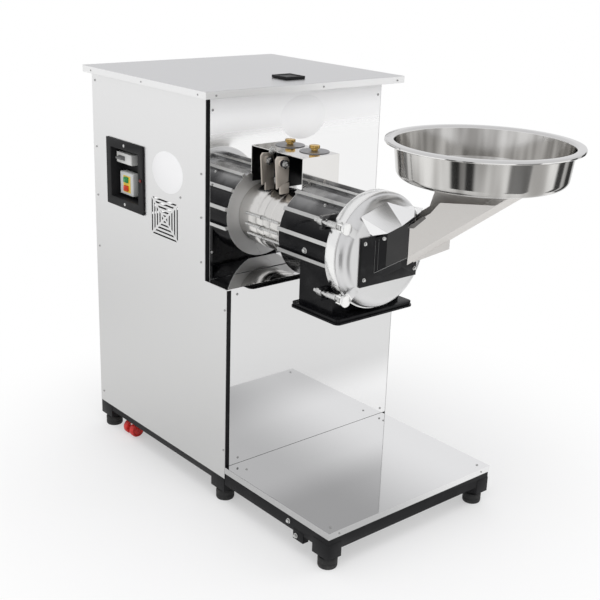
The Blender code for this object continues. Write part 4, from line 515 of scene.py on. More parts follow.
# The upper facets are painted grey and part metallic: painted reflection of the bright room on the gloss black.
painted_top_sheen = rise.between(0.062, 0.10) * (1 - crest)
painted_sheen_grey = enamel.mix(smoke.between(0.35, 0.7), (0.06, 0.06, 0.062), (0.30, 0.30, 0.30))
paint = enamel.mix(painted_top_sheen, paint, painted_sheen_grey)
enamel.tone(back, enamel.mix(crest, paint, (0.62, 0.62, 0.61)), (0.97, 0.965, 0.955))
enamel.set("Metallic", crest + painted_top_sheen * 0.65)
enamel.set("Coat Weight", rise.between(0.03, 0.09) * (1 - crest))
enamel.set("Roughness", 0.14 + skin * 0.14 + crest * 0.10 + back * 0.25)
enamel.bump(skin, 0.16, 0.0012)
chamber = dressed("chamber_body", 0.0007, "cabinet", enamel, 2, smooth=24.0, sharper=24.0)


def round_the_axis(angle, radius, y):
    """A point round the chamber's axis, and the way that it faces."""
    lean = math.radians(angle)
    out = Vector((math.cos(lean), 0, math.sin(lean)))
    return spot(axis_x, y, axis_z) + out * radius / 1000, out


barrel_bolts = hex_bolt(*round_the_axis(186.0, 108.6, -106), 9.0, 4.0, 7.0)
gather(barrel_bolts, hex_bolt(*round_the_axis(127.0, 108.6, -120), 5.0, 2.5, 4.0))
set_down("barrel_bolts", barrel_bolts, "cabinet", zinc)

# Sieve
# A half-round screen of punched steel at the bottom of the chamber, held there by the lid. It shows only
# when the lid is open.

punched = Finish("punched steel", (0.40, 0.40, 0.40), 0.38, 1.0)
punched.patchy(0.3, 120.0, 3.0, 0.25)
punched.bump(punched.noise(600.0, 2.0), 0.1, 0.0003)
coat_node("sieve_screen", punched)

# Neck, bearing housing and shaft
# A turned steel tube carries the chamber in front of the panel. Lathe rings show on it, with a groove for
# the drip edge. Behind it stand the bearing housing, the mounting plate and the main shaft.

lathe = Finish("turned steel", (0.66, 0.64, 0.62), 0.2, 1.0)
across, along, up = lathe.apart()
rings = lathe.noise(1.0, 2.0, (4.0, 1400.0, 4.0))
lathe.tone(lathe.noise(9.0, 3.0), (0.76, 0.745, 0.72), (0.88, 0.87, 0.85))
lathe.set("Roughness", 0.12 + rings * 0.16)
lathe.bump(rings, 0.10, 0.0003)
low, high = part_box("neck")
start, end = (low.y - corner.y) * 1000, (high.y - corner.y) * 1000
wide = 77.0
neck = turned([(66, end - start), (wide, end - start), (wide, 72.0), (wide - 0.8, 71.4), (wide - 0.8, 70.0),
               (wide, 69.4), (wide, 26.0), (wide - 1.0, 25.0), (wide - 1.0, 22.0), (wide - 3.0, 21.0),
               (wide - 3.0, 0), (66, 0)], spot(axis_x, start, axis_z), (0, 1, 0), 160, closed=True,
              round_edge=0.0004)
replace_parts(set_down("turned_neck", neck, "cabinet", lathe), "neck")
collar = turned([(77.3, 1.2), (106.1, 1.2), (106.1, 0), (77.3, 0)], spot(axis_x, 82, axis_z), (0, 1, 0), 160,
                closed=True)
set_down("panel_collar", collar, "cabinet", mirror_sheet)
studs = bmesh.new()
for angle in (168.0, 186.0, 204.0):
    place, out = round_the_axis(angle, wide + 3.6, 22)
    gather(studs, turned([(0, 59.6), (3.2, 59.6), (3.2, 0.6), (2.6, 0), (0, 0)], place, (0, 1, 0), 20))
    gather(studs, hex_bolt(place + Vector((0, 0.0585, 0)), (0, -1, 0), 7.0, 4.5, 5.2))
set_down("neck_studs", studs, "cabinet", zinc)
shop_steel = Finish("turned shop steel", (0.42, 0.42, 0.43), 0.34, 1.0)
shop_steel.patchy(0.26, 80.0, 4.0, 0.2)
shop_steel.tone(shop_steel.noise(30.0, 4.0), (0.34, 0.34, 0.35), (0.52, 0.52, 0.52))
shop_steel.bump(shop_steel.noise(900.0, 2.0), 0.1, 0.0003)
primer = Finish("grey primer on castings", (0.10, 0.12, 0.14), 0.55)
lump = primer.noise(240.0, 4.0)
primer.tone(primer.noise(12.0, 3.0), (0.085, 0.10, 0.12), (0.14, 0.155, 0.17))
primer.set("Roughness", 0.42 + lump * 0.2)
primer.bump(lump, 0.3, 0.0006)
for name in ("mount_plate", "bearing_front", "bearing_rear", "main_shaft", "rotor", "driven_pulley",
             "motor_shaft", "motor_pulley"):
    coat_node(name, shop_steel)
coat_node("bearing_housing", primer)
coat_node("rotor_nut", zinc)

# Motor, its base and the belt
# A finned foot motor, painted with the same grey primer, is bolted to a black frame and turns the mill
# through a rubber V-belt.

belt_rubber = Finish("belt rubber", (0.018, 0.018, 0.018), 0.7)
belt_rubber.patchy(0.6, 70.0, 3.0, 0.25)
belt_rubber.bump(belt_rubber.noise(900.0, 2.0), 0.3, 0.0003)
dressed("motor_body", 0.0008, "cabinet", primer, 2, smooth=24.0)
dressed("motor_base", 0.0010, "cabinet", powder_black, 2)
coat_node("v_belt", belt_rubber)

# Lid
# A round steel door on a hinge at its right: a bright ring band closes on the barrel, and a satin plate
# with a rounded edge stands in front of it. Two ears at its left carry the swing bolts.

door_steel = Finish("satin door steel", (0.68, 0.68, 0.68), 0.3, 1.0)
across, _, up = door_steel.apart()
away = across - (corner.x + axis_x / 1000)
rise = up - axis_z / 1000
radius = (away * away + rise * rise).maths("SQRT")
swirl = door_steel.node("ShaderNodeCombineXYZ", {}, {0: radius * 900.0, 1: 0.0, 2: 0.0})
circles = door_steel.node("ShaderNodeTexNoise", {}, {"Vector": swirl, "Scale": 1.0, "Detail": 2.0})
band = radius > 0.1284
satin = door_steel.mix(circles * 0.4 + door_steel.noise(7.0, 3.0) * 0.6, (0.69, 0.69, 0.69),
                       (0.77, 0.77, 0.77))
door_steel.tone(band, satin, (0.90, 0.90, 0.89))
door_steel.set("Roughness", 0.26 - band * 0.12 + circles * 0.05 + door_steel.noise(30.0, 3.0) * 0.06)
door_steel.bump(circles, 0.02, 0.0003)
low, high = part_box("lid")
face = (low.y - corner.y) * 1000
depth = 54.5
plate = 24.5
edge = [(102 + 25 * math.cos(math.radians(angle)), plate - plate * math.sin(math.radians(angle)))
        for angle in range(0, 85, 7)]
front = turned([(0, 7), (96, 7), (96, depth), (130, depth), (130, plate + 1.2), (128.8, plate + 1.2),
                (128.8, plate)] + edge + [(102, 0), (0, 0)], spot(axis_x, face, axis_z), (0, 1, 0), 180,
               round_edge=0.0005, sharper=50.0)


def slab(low, high, edge=0.0005, segments=2):
    """A squared piece with rounded edges."""
    bm = bmesh.new()
    bmesh.ops.create_cube(bm, size=1.0)
    bmesh.ops.scale(bm, vec=high - low, verts=bm.verts)
    bmesh.ops.translate(bm, vec=(low + high) / 2, verts=bm.verts)
    if edge:
        soften(bm, edge, segments)
    return bm


clamps = {"upper": (axis_x - 118.5, axis_z + 70.5), "lower": (axis_x - 113.0, axis_z - 88.0)}
pin_y = face + 19
for x, z in clamps.values():
    ear = turned([(0, 7), (13, 7), (13, 0), (0, 0)], spot(x, face, z), (0, 1, 0), 48, round_edge=0.0008)
    lean = math.atan2(z - axis_z, x - axis_x)
    reach = math.hypot(z - axis_z, x - axis_x)
    bridge = slab(Vector((92, -9.8, -3.1)) / 1000, Vector((reach, 9.8, 3.1)) / 1000, 0.0008)
    upright = Matrix.Translation(spot(axis_x, face + 3.6, axis_z)) @ Matrix.Rotation(math.radians(90), 4, "X")
    stand = upright @ Matrix.Rotation(lean, 4, "Z")
    bmesh.ops.transform(bridge, matrix=stand, verts=bridge.verts)
    gather(ear, bridge)
    for low_z, high_z in ((5.1, 9.1), (-9.1, -5.1)):
        gather(ear, slab(spot(x - 6.8, face + 3, z + low_z), spot(x + 6.8, pin_y + 6.8, z + high_z),
                         0.0009, 3))
    gather(front, ear)
gather(front, slab(spot(axis_x + 118, face + 38.5, axis_z - 12.6),
                   spot(axis_x + 165, face + 51.1, axis_z + 12.6), 0.0008))
gather(front, turned([(0, 13), (9.7, 13), (9.7, -13), (0, -13)], spot(axis_x + 165, -206, axis_z), steps=40,
                     round_edge=0.0008))
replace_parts(set_down("round_door", front, "lid_assembly", door_steel, 24.0), "lid")
dressed("hinge_pin", 0.0006, "cabinet", zinc)

# Swing bolts
# Two bright eye bolts with a thick sleeve swing on pins in the lid's ears, and a long hex nut on each
# draws the lid against the barrel's lugs.

for side, (x, z) in clamps.items():
    nut_start = -196.3 + 12 + 8 + 0.3
    tip = nut_start + 27 - pin_y
    sleeve_end = -196.3 + 10 - pin_y
    thread = []
    height = tip - 1.0
    while height > sleeve_end + 1.5:
        thread += [(4.4, height), (3.9, height - 0.5)]
        height -= 1.0
    sleeve = [(4.4, sleeve_end), (6.6, sleeve_end), (7.0, sleeve_end - 0.5), (7.0, sleeve_end - 7),
              (6.2, sleeve_end - 8), (6.2, sleeve_end - 10), (7.0, sleeve_end - 11), (7.0, 12.0), (6.5, 11.5),
              (4.5, 11.5), (4.5, 4.5), (0, 4.5)]
    bolt = turned([(0, tip), (3.4, tip)] + thread + sleeve, spot(x, pin_y, z), (0, 1, 0), 32)
    eye = turned([(2.8, 4.8), (6.3, 4.8), (6.8, 4.3), (6.8, -4.3), (6.3, -4.8), (2.8, -4.8)],
                 spot(x, pin_y, z), steps=40, closed=True)
    gather(bolt, eye)
    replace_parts(set_down("eye_bolt_" + side, bolt, side + "_bolt", zinc), "clamp_bolt_" + side)
    dressed("clamp_nut_" + side, 0.0008, side + "_nut", zinc)
    dressed("clamp_pin_" + side, 0.0005, "lid_assembly", zinc)

# Feed plate
# A black plate bolted to the lid, with the closed throat that takes the grain in. Thin bright steel rods laid
# along the throat's folded tab and lower edge are painted highlights of these edges.

plate_enamel = Finish("black enamelled plate", (0.006, 0.006, 0.007), 0.28, Specular_IOR_Level=0.2)
film = plate_enamel.noise(40.0, 4.0)
plate_enamel.tone(film.between(0.45, 0.75), (0.005, 0.005, 0.006), (0.018, 0.018, 0.019))
plate_enamel.set("Roughness", 0.26 + film * 0.16)
plate_enamel.bump(plate_enamel.noise(300.0, 3.0), 0.12, 0.0006)
dressed("feed_plate", 0.0005, "lid_assembly", plate_enamel, 2)
plate_front = (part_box("lid")[0].y - corner.y) * 1000 - 0.3 - 4
plate_bolts = bmesh.new()
for x, z in ((171, 675), (172, 595), (325, 595), (218, 677)):
    gather(plate_bolts, hex_bolt(spot(x, plate_front, z), (0, -1, 0), 6.0, 3.0, 4.6))
set_down("feed_plate_bolts", plate_bolts, "lid_assembly", zinc)


def near_wall(along, z, out=0.0):
    """A point on the near wall of throat and chute: how far along, how high, and how far out of its face."""
    reach = (along + 32.5) * math.sqrt(0.5)
    return spot(200 + reach - out * math.sqrt(0.5), -255.4 - reach - out * math.sqrt(0.5), z)


def rod(bm, start, end, thick):
    """A thin round rod from one point to another."""
    made = bmesh.ops.create_cone(bm, cap_ends=True, segments=10, radius1=thick / 2000, radius2=thick / 2000,
                                 depth=(end - start).length)
    lean = Vector((0, 0, 1)).rotation_difference(end - start).to_matrix().to_4x4()
    bmesh.ops.transform(bm, matrix=Matrix.Translation((start + end) / 2) @ lean, verts=made["verts"])


# The cheek's dark grey is painted light: the lit face of the black throat wall, beside its black shade.
lit_throat_enamel = Finish("throat enamel painted lighter as painted light", (0.05, 0.05, 0.052), 0.4, Specular_IOR_Level=0.25)
lit_throat_enamel.patchy(0.34, 60.0, 3.0, 0.16)
lit_throat_enamel.tone(lit_throat_enamel.noise(22.0, 4.0), (0.030, 0.030, 0.031), (0.052, 0.051, 0.050))
# Thin bright rods along the throat's tab and lower edge are painted highlights of these edges.
painted_edge_highlights = bmesh.new()
rod(painted_edge_highlights, near_wall(-32, 606, 0.2), near_wall(36, 644, 0.2), 0.9)
rod(painted_edge_highlights, near_wall(-32, 606, 0.2), near_wall(-32, 678, 0.2), 0.6)
rod(painted_edge_highlights, near_wall(-25, 612, 0.2), near_wall(-25, 682, 0.2), 0.5)
set_down("throat_edge_highlights", painted_edge_highlights, "lid_assembly", screw_steel)

# Chute
# A channel of folded sheet, greyish and brushed along its length, that slopes from under the bowl to the
# throat. A dark grey cheek plate, painted lighter than the black throat as painted light, and a bolted strip
# of sheet are laid on the near wall.

chute_sheet = Finish("chute sheet", (0.66, 0.64, 0.61), 0.42, 1.0)
length_grain = chute_sheet.noise(160.0, 3.0, (0.4, 0.4, 3.0))
chute_sheet.tone(length_grain * 0.5 + chute_sheet.noise(5.0, 3.0) * 0.5, (0.69, 0.67, 0.645),
                 (0.78, 0.76, 0.735))
chute_sheet.set("Roughness", 0.36 + length_grain * 0.14)
chute_sheet.bump(length_grain, 0.05, 0.0003)
dressed("chute", 0.0003, "lid_assembly", chute_sheet, 1, smooth=5.0)


def wall_plate(corners, thick, out):
    """A flat plate laid against the near wall, from its corners along the wall and in height."""
    bm = bmesh.new()
    verts = [bm.verts.new(near_wall(along, z, out)) for along, z in corners]
    front = bmesh.ops.contextual_create(bm, geom=verts)["faces"]
    made = bmesh.ops.extrude_face_region(bm, geom=front)["geom"]
    raised = [item for item in made if isinstance(item, bmesh.types.BMVert)]
    bmesh.ops.translate(bm, vec=near_wall(0, 0, thick) - near_wall(0, 0), verts=raised)
    bmesh.ops.recalc_face_normals(bm, faces=bm.faces)
    soften(bm, 0.0003, 1)
    return bm


cheek = wall_plate([(-8, 619), (36.2, 644.5), (36.2, 720), (22, 712.6), (-8, 694)], 0.4, 0.2)
set_down("throat_cheek", cheek, "lid_assembly", lit_throat_enamel)
cheek_bolt = hex_bolt(near_wall(-14, 683, 0.1), (-0.7071, -0.7071, 0), 5.5, 2.6, 4.2)
set_down("throat_cheek_bolt", cheek_bolt, "lid_assembly", zinc)
strip = wall_plate([(50, 630), (124, 664), (124, 684.5), (50, 633)], 1.2, -15.0)
gather(strip, hex_bolt(near_wall(92, 667, -13.8), (-0.7071, -0.7071, 0), 5.0, 2.0, 3.6))
set_down("chute_strip", strip, "lid_assembly", chute_sheet)

# Hood
# A small folded hood of polished sheet that closes the corner between the lid, the throat and the chute.
# Four flat faces meet at its folds, and a slot is cut through it for the gate.

hood_sheet = mirrored("polished hood sheet", 0.92, 0.20)
lid_front = (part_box("lid")[0].y - corner.y) * 1000 - 0.4
hood = bmesh.new()
left, crown, foot, far_end = [hood.verts.new(spot(x, lid_front, z)) for x, z in
                              ((158, 734), (231.5, 756.5), (190, 688.5), (345, 728))]
near_fold, ridge, mouth = [hood.verts.new(near_wall(along, z, -0.4)) for along, z in
                           ((-8, 694.5), (22, 713), (58, 745))]
for corners in ((left, foot, near_fold), (left, near_fold, ridge, crown), (crown, ridge, mouth),
                (crown, mouth, far_end)):
    bmesh.ops.contextual_create(hood, geom=corners)
gate_low, gate_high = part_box("chute_gate")
gate_middle = (gate_low + gate_high) / 2
gate_half = (gate_high - gate_low).xy.length / 2
slot_half = 0.0025
forward = (near_wall(1, 0) - near_wall(0, 0)).normalized()
outward = (near_wall(0, 0, 1) - near_wall(0, 0)).normalized()
for place, way in ((gate_middle - forward * slot_half, forward), (gate_middle + forward * slot_half, forward),
                   (gate_middle - outward * (gate_half + slot_half), outward)):
    bmesh.ops.bisect_plane(hood, geom=hood.verts[:] + hood.edges[:] + hood.faces[:], plane_co=place,
                           plane_no=way)
opening = []
for sheet_face in hood.faces:
    off = sheet_face.calc_center_median() - gate_middle
    if abs(off.dot(forward)) < slot_half and off.dot(outward) > -gate_half - slot_half:
        opening.append(sheet_face)
bmesh.ops.delete(hood, geom=opening, context="FACES")
bmesh.ops.recalc_face_normals(hood, faces=hood.faces)
bmesh.ops.solidify(hood, geom=hood.faces, thickness=0.0010)
set_down("throat_hood", hood, "lid_assembly", hood_sheet, 3.0)

# Gate
# A slide of dark oiled steel that stands across the chute and is drawn upwards through the hood's slot. Its
# bent tab lies on the near wall, over the thin black line of the slot, a black strip of painted shade.

dark_slide = Finish("oiled steel slide", (0.14, 0.14, 0.14), 0.3, 0.9)
dark_slide.patchy(0.24, 60.0, 3.0, 0.2)
dark_slide.tone(dark_slide.noise(50.0, 3.0), (0.10, 0.10, 0.10), (0.22, 0.21, 0.20))
dressed("chute_gate", 0.0003, "gate", dark_slide, 1)
tab = wall_plate([(32, 709), (46, 709), (70, 732), (64, 737)], 1.0, 0.4)
set_down("gate_tab", tab, "gate", dark_slide)
# This thin black strip on the near wall is painted shade: the dark line of the slot's gap.
slot_shade_strip = wall_plate([(33, 717), (57, 738), (58, 742), (32, 721)], 0.6, 0.3)
set_down("slot_painted_shade", slot_shade_strip, "lid_assembly", plate_enamel)

# Feed bowl
# A deep bowl pressed and spun from stainless steel and polished inside and out, with a flat rolled rim. A
# round hole off its middle opens over the chute.

spun_steel = Finish("spun polished steel", (0.74, 0.73, 0.72), 0.08, 1.0)
low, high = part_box("bowl")
bowl_middle = (low + high) / 2
across, along, up = spun_steel.apart()
away = across - bowl_middle.x
aside = along - bowl_middle.y
radius = (away * away + aside * aside).maths("SQRT")
spin = spun_steel.node("ShaderNodeCombineXYZ", {}, {0: radius * 1200.0, 1: up * 1200.0, 2: 0.0})
spinning = spun_steel.node("ShaderNodeTexNoise", {}, {"Vector": spin, "Scale": 1.0, "Detail": 2.0})
within = (radius < 0.1864) * (up < high.z - 0.004)
bright = spun_steel.mix(spun_steel.noise(6.0, 3.0), (0.86, 0.85, 0.84), (0.92, 0.915, 0.905))
# Inside, the steel is painted darker with radial light and dark streaks: painted shade and painted reflection.
round_wall = spun_steel.node("ShaderNodeCombineXYZ", {},
                             {0: away / radius * 1.6, 1: aside / radius * 1.6, 2: up * 1.2})
painted_reflection_streaks = spun_steel.node("ShaderNodeTexNoise", {}, {"Vector": round_wall, "Scale": 2.2, "Detail": 2.0})
painted_shade_and_reflection = spun_steel.mix(painted_reflection_streaks.between(0.32, 0.68), (0.34, 0.33, 0.315), (0.74, 0.73, 0.71))
brim = up > high.z - 0.0035
outer = spun_steel.mix(brim, bright, (0.66, 0.655, 0.65))
spun_steel.tone(within, outer, painted_shade_and_reflection)
spun_steel.set("Roughness", 0.03 + spinning * 0.04 + within * 0.05)
spun_steel.bump(spinning, 0.02, 0.0002)
rim = (high.x - low.x) * 500 - 1.3
depth = 79.0
wall = 187.0
lip = [(rim - 1.2, depth - 4.0), (rim, depth - 3.2), (rim, depth - 0.6), (rim - 0.8, depth + 0.9),
       (rim - 3.0, depth + 1.2)]
neck_round = [(wall + 5.4 + 5.4 * math.cos(math.radians(a)), depth - 4.2 + 5.4 * math.sin(math.radians(a)))
              for a in range(90, 181, 15)]
base_round = [(wall - 25 + 18 * math.cos(math.radians(a)), 18 + 18 * math.sin(math.radians(a)))
              for a in range(-6, -91, -12)]
inside = lip + neck_round + base_round
dish = bmesh.new()
turn(dish, inside, Vector((bowl_middle.x, bowl_middle.y, low.z)), steps=192)
circle = bmesh.ops.create_circle(dish, cap_ends=False, segments=192, radius=0.030)["verts"]
outlet = spot(405.8, -415.2, 0)
bmesh.ops.translate(dish, vec=(outlet.x, outlet.y, low.z), verts=circle)
bend = [vert for vert in dish.verts if vert.co.z < low.z + 0.0001 and vert not in circle]


def by_bearing(verts, centre):
    """A ring of corners in the order in which they stand round its centre."""
    slack = 0.001
    return sorted(verts, key=lambda vert:
                  (math.atan2(vert.co.y - centre.y, vert.co.x - centre.x) + slack) % math.tau)


outer_ring = by_bearing(bend, bowl_middle)
hole_ring = by_bearing(circle, outlet)
for number in range(len(hole_ring)):
    dish.faces.new((outer_ring[number - 1], outer_ring[number], hole_ring[number], hole_ring[number - 1]))
bmesh.ops.recalc_face_normals(dish, faces=dish.faces)
bowl_piece = set_down("spun_bowl", dish, "lid_assembly", spun_steel, 40.0)
sheet = bowl_piece.modifiers.new("sheet", "SOLIDIFY")
sheet.thickness = 0.0012
sheet.offset = 1.0
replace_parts(bowl_piece, "bowl")

# Guard, grease cup and lug
# A box of polished sheet over the neck, open at its left side, where the lug plate and its bolts show. A
# brass grease cup stands on a round washer on its top.

guard_sheet = Finish("polished guard sheet", (0.78, 0.78, 0.77), 0.07, 1.0)
guard_sheet.patchy(0.05, 20.0, 3.0, 0.06)
guard_sheet.tone(guard_sheet.noise(9.0, 2.0), (0.75, 0.74, 0.72), (0.81, 0.80, 0.79))
dressed("guard_box", 0.0004, "cabinet", guard_sheet, 1, smooth=5.0)
low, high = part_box("guard_box")
# Black plates inside the guard are painted shade: the dark interior of the open box.
shade = slab(Vector((low.x + 0.002, high.y - 0.0030, low.z + 0.001)),
             Vector((high.x - 0.002, high.y - 0.0005, high.z - 0.002)), 0.0004)
gather(shade, slab(Vector((high.x - 0.0035, low.y + 0.003, low.z + 0.001)),
                   Vector((high.x - 0.0020, high.y - 0.0035, high.z - 0.002)), 0.0003))
gather(shade, slab(Vector((low.x + 0.002, low.y + 0.0020, low.z + 0.001)),
                   Vector((high.x - 0.004, low.y + 0.0032, high.z - 0.002)), 0.0003))
gather(shade, slab(Vector((low.x + 0.002, low.y + 0.0035, high.z - 0.0032)),
                   Vector((high.x - 0.004, high.y - 0.0035, high.z - 0.0020)), 0.0003))
set_down("guard_painted_shade", shade, "cabinet", plate_enamel)
washer_steel = Finish("grey washer", (0.36, 0.36, 0.37), 0.34, 1.0)
washer_steel.patchy(0.3, 200.0, 2.0, 0.2)
low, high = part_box("cup_washer")
middle = (low + high) / 2
disc = turned([(6.3, 1.5), (34.6, 1.5), (35, 1.1), (35, 0.3), (34.7, 0), (6.3, 0)],
              Vector((middle.x, middle.y, low.z)), steps=96, closed=True)
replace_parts(set_down("round_washer", disc, "cabinet", washer_steel), "cup_washer")
brass = Finish("polished brass", (0.72, 0.46, 0.14), 0.18, 1.0)
tarnish = brass.noise(110.0, 4.0)
brass.tone(tarnish.between(0.4, 0.75), (0.78, 0.52, 0.17), (0.52, 0.32, 0.10))
brass.set("Roughness", 0.12 + tarnish * 0.16)
low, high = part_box("grease_cup")
middle = (low + high) / 2
cup = bmesh.new()
made = bmesh.ops.create_cone(cup, cap_ends=True, segments=8, radius1=0.0126, radius2=0.0126, depth=0.0076)
bmesh.ops.translate(cup, vec=(middle.x, middle.y, high.z - 0.0038), verts=made["verts"])
soften(cup, 0.0009, 3)
gather(cup, turned([(0, 5.6), (7.8, 5.6), (7.8, 0.1), (6, 0.1), (6, -13.9), (0, -13.9)],
                   Vector((middle.x, middle.y, high.z - 0.013)), steps=40, round_edge=0.0003))
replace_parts(set_down("brass_cup", cup, "grease_cup_cap", brass), "grease_cup")
lug_steel = Finish("warm machined steel", (0.60, 0.54, 0.47), 0.34, 1.0)
lug_steel.set("Metallic", 0.35)
lug_steel.patchy(0.28, 90.0, 3.0, 0.2)
_, along, _ = lug_steel.apart()
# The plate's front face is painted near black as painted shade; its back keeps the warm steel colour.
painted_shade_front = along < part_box("lug_plate")[0].y + 0.0006
warm = lug_steel.mix(lug_steel.noise(40.0, 3.0), (0.52, 0.46, 0.40), (0.68, 0.62, 0.55))
lug_steel.tone(painted_shade_front, warm, (0.030, 0.028, 0.032))
dressed("lug_plate", 0.0006, "cabinet", lug_steel, 2)
lug_bolts = hex_bolt(spot(200, 48, 786), (0, -1, 0), 12.0, 6.0, 10.0, 3.0)
gather(lug_bolts, hex_bolt(spot(196, 62, 786), (0, 1, 0), 12.0, 5.0, 10.0))
gather(lug_bolts, hex_bolt(spot(187, 82, 814), (0, -1, 0), 11.0, 5.0, 9.0))
set_down("lug_bolts", lug_bolts, "cabinet", zinc)
lug_foot = slab(spot(190, 52.5, 716), spot(216, 57.5, 742), 0.0006)
set_down("lug_foot", lug_foot, "cabinet", lug_steel)

# Switches
# A moulded black tray in the left panel holds a white circuit breaker and a push-button station with a
# yellow plate, a green button over a red one, and a small red lamp in the rim.

dressed("control_bezel", 0.0008, "cabinet", moulded_black, 2)
white_nylon = Finish("white moulded nylon", (0.74, 0.74, 0.72), 0.42)
white_nylon.patchy(0.36, 80.0, 2.0, 0.15)
white_nylon.tone(white_nylon.noise(30.0, 2.0), (0.70, 0.70, 0.68), (0.78, 0.78, 0.76))
dressed("breaker", 0.0007, "cabinet", white_nylon)
station_grey = Finish("pale grey station", (0.62, 0.63, 0.62), 0.45)
station_grey.patchy(0.38, 80.0, 2.0, 0.15)
station_grey.tone(station_grey.noise(25.0, 2.0), (0.58, 0.59, 0.58), (0.66, 0.67, 0.66))
dressed("button_station", 0.0010, "cabinet", station_grey)
yellow_plate = Finish("yellow plate", (0.78, 0.52, 0.02), 0.4)
yellow_plate.patchy(0.34, 90.0, 2.0, 0.15)
yellow_plate.tone(yellow_plate.noise(30.0, 2.0), (0.76, 0.50, 0.02), (0.84, 0.60, 0.05))
surround = bmesh.new()
for low_z, high_z, low_y, high_y in ((669, 671.6, 411, 443), (685.8, 693.2, 411, 443), (707.4, 710, 411, 443),
                                    (671.6, 685.8, 411, 419.4), (671.6, 685.8, 438.6, 443),
                                    (693.2, 707.4, 411, 419.4), (693.2, 707.4, 438.6, 443)):
    gather(surround, slab(spot(10.1, low_y, low_z), spot(10.68, high_y, high_z), 0.0))
set_down("yellow_surround", surround, "cabinet", yellow_plate)
green_cap = Finish("green button", (0.02, 0.30, 0.08), 0.32)
green_cap.patchy(0.26, 90.0, 2.0, 0.15)
red_cap = Finish("red button", (0.70, 0.05, 0.015), 0.32)
red_cap.patchy(0.26, 90.0, 2.0, 0.15)
dressed("start_button", 0.0012, "start", green_cap, 3)
dressed("stop_button", 0.0012, "stop", red_cap, 3)
toggle_grey = Finish("grey toggle", (0.16, 0.16, 0.16), 0.4, Specular_IOR_Level=0.3)
toggle_grey.patchy(0.34, 120.0, 2.0, 0.16)
dressed("breaker_toggle", 0.0006, "toggle", toggle_grey, 2)
lens_red = Finish("dark red lamp lens", (0.16, 0.012, 0.010), 0.25)
lens_red.patchy(0.2, 200.0, 2.0, 0.15)
dressed("lamp", 0.0004, "cabinet", lens_red, 2)
pan_screws("bezel_screws", [spot(-4.5, 414, 788), spot(-4.5, 414, 643)], (-1, 0, 0), 4.0, finish=zinc)

# Floor, light and camera
# A white studio floor that fades into a white room, two soft lamps, and the camera at the photograph's
# angle. Bright and dark screens round the room show only in the polished steel.

paper = Finish("studio paper", (0.84, 0.84, 0.84), 0.9)
across, along, _ = paper.apart()
far = (across * across + along * along).maths("SQRT")
light_path = paper.tree.nodes.new("ShaderNodeLightPath")
seen = Wire(paper, light_path.outputs["Is Camera Ray"])
glow = paper.node("ShaderNodeEmission", {}, {"Color": (1, 1, 1, 1), "Strength": 1.0})
fade = far.between(0.40, 1.10)
shiny = Wire(paper, light_path.outputs["Is Glossy Ray"])
share = seen.maths("MAXIMUM", shiny) * (0.42 + fade * 0.58)
mixed = paper.node("ShaderNodeMixShader", {}, {0: share, 1: Wire(paper, paper.shader.outputs[0]), 2: glow})
paper.tree.links.new(mixed.socket, paper.tree.nodes["Material Output"].inputs["Surface"])
ground = bmesh.new()
bmesh.ops.create_circle(ground, cap_ends=True, segments=128, radius=1.4)
mesh = bpy.data.meshes.new("studio_floor")
ground.to_mesh(mesh)
ground.free()
floor = bpy.data.objects.new("studio_floor", mesh)
bpy.context.scene.collection.objects.link(floor)
coat(floor, paper)


class Room(Finish):
    """The room round the object, which lights it."""

    def __init__(self, name):
        world = bpy.data.worlds.new(name)
        bpy.context.scene.world = world
        world.use_nodes = True
        self.tree = world.node_tree
        self.shader = self.tree.nodes["Background"]


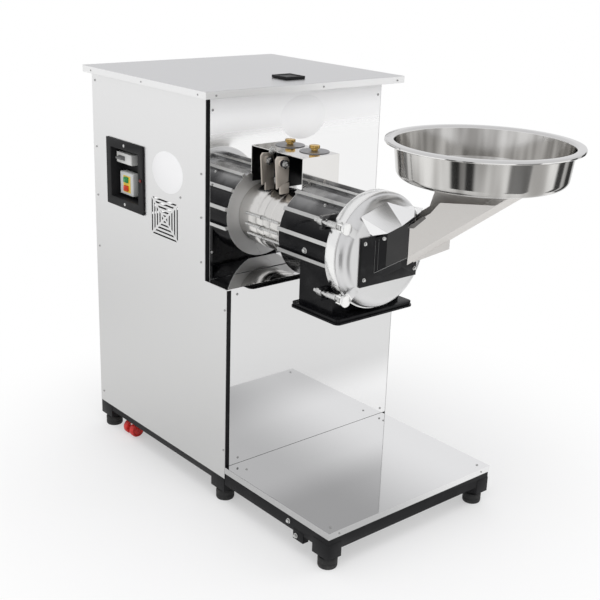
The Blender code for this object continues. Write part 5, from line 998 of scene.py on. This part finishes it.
room = Room("white studio")
direction = room.tree.nodes.new("ShaderNodeTexCoord")
parts = room.tree.nodes.new("ShaderNodeSeparateXYZ")
room.tree.links.new(direction.outputs["Generated"], parts.inputs[0])
east, north, height = (Wire(room, parts.outputs[index]) for index in range(3))
bearing = east.maths("ARCTAN2", 0.0 - north) / math.tau + 0.5
screens = [(-180, 0.08), (-172, 0.08), (-166, 0.95), (-94, 1.0), (-90, 0.05), (-81, 0.05), (-78, 0.5),
           (-73, 0.5), (-71, 0.04), (-62, 0.04), (-58, 0.7), (-43, 0.95), (-16, 1.0), (-12, 0.30), (15, 0.22),
           (18, 1.0), (58, 1.0), (63, 0.06), (74, 0.06), (77, 0.7), (85, 0.6), (88, 0.05), (102, 0.05),
           (107, 0.8), (144, 0.9), (150, 0.10), (180, 0.08)]
round_the_room = [((angle + 180) / 360, grey) for angle, grey in screens]
band = room.node("ShaderNodeValToRGB", {"stops": round_the_room}, {"Fac": bearing})
below = 1 - height.between(-0.03, 0.06)
screened = room.mix(below, (0.86, 0.86, 0.87), band)
path = room.tree.nodes.new("ShaderNodeLightPath")
shiny = Wire(room, path.outputs["Is Glossy Ray"])
camera_sees = Wire(room, path.outputs["Is Camera Ray"])
room.set("Color", room.mix(camera_sees, room.mix(shiny, (0.86, 0.86, 0.87), screened), (1.0, 1.0, 1.0)))
room.set("Strength", 1.0)


def soft_lamp(name, place, aim, size, power):
    lamp_data = bpy.data.lights.new(name, "AREA")
    lamp_data.shape = "RECTANGLE"
    lamp_data.size, lamp_data.size_y = size
    lamp_data.energy = power
    lamp = bpy.data.objects.new(name, lamp_data)
    bpy.context.scene.collection.objects.link(lamp)
    lamp.location = place
    lamp.rotation_mode = "QUATERNION"
    lamp.rotation_quaternion = (Vector(aim) - Vector(place)).to_track_quat("-Z", "Y")
    lamp.visible_glossy = False
    return lamp


soft_lamp("overhead_softbox", (-0.6, -1.0, 2.9), (0.1, 0.0, 0.5), (2.2, 1.6), 26)
soft_lamp("right_softbox", (2.3, -1.6, 1.5), (0.1, 0.0, 0.6), (1.2, 1.6), 10)

camera_data = bpy.data.cameras.new("camera")
camera_data.sensor_width = 36.0
camera_data.lens = 64.2
camera = bpy.data.objects.new("camera", camera_data)
bpy.context.scene.collection.objects.link(camera)
position = corner + Vector((-1.3393, -1.8044, 1.2893))
sight = (corner + Vector((0.2155, 0.0, 0.4696)) - position).normalized()
right = sight.cross(Vector((0, 0, 1))).normalized()
upward = right.cross(sight)
tilt = math.radians(1.95)
right, upward = (right * math.cos(tilt) + upward * math.sin(tilt),
                 upward * math.cos(tilt) - right * math.sin(tilt))
camera.matrix_world = Matrix.Translation(position) @ Matrix((right, upward, -sight)).transposed().to_4x4()
camera_data.clip_start = 0.05
camera_data.clip_end = 50.0
bpy.context.scene.camera = camera
bpy.context.scene.view_settings.view_transform = "Standard"
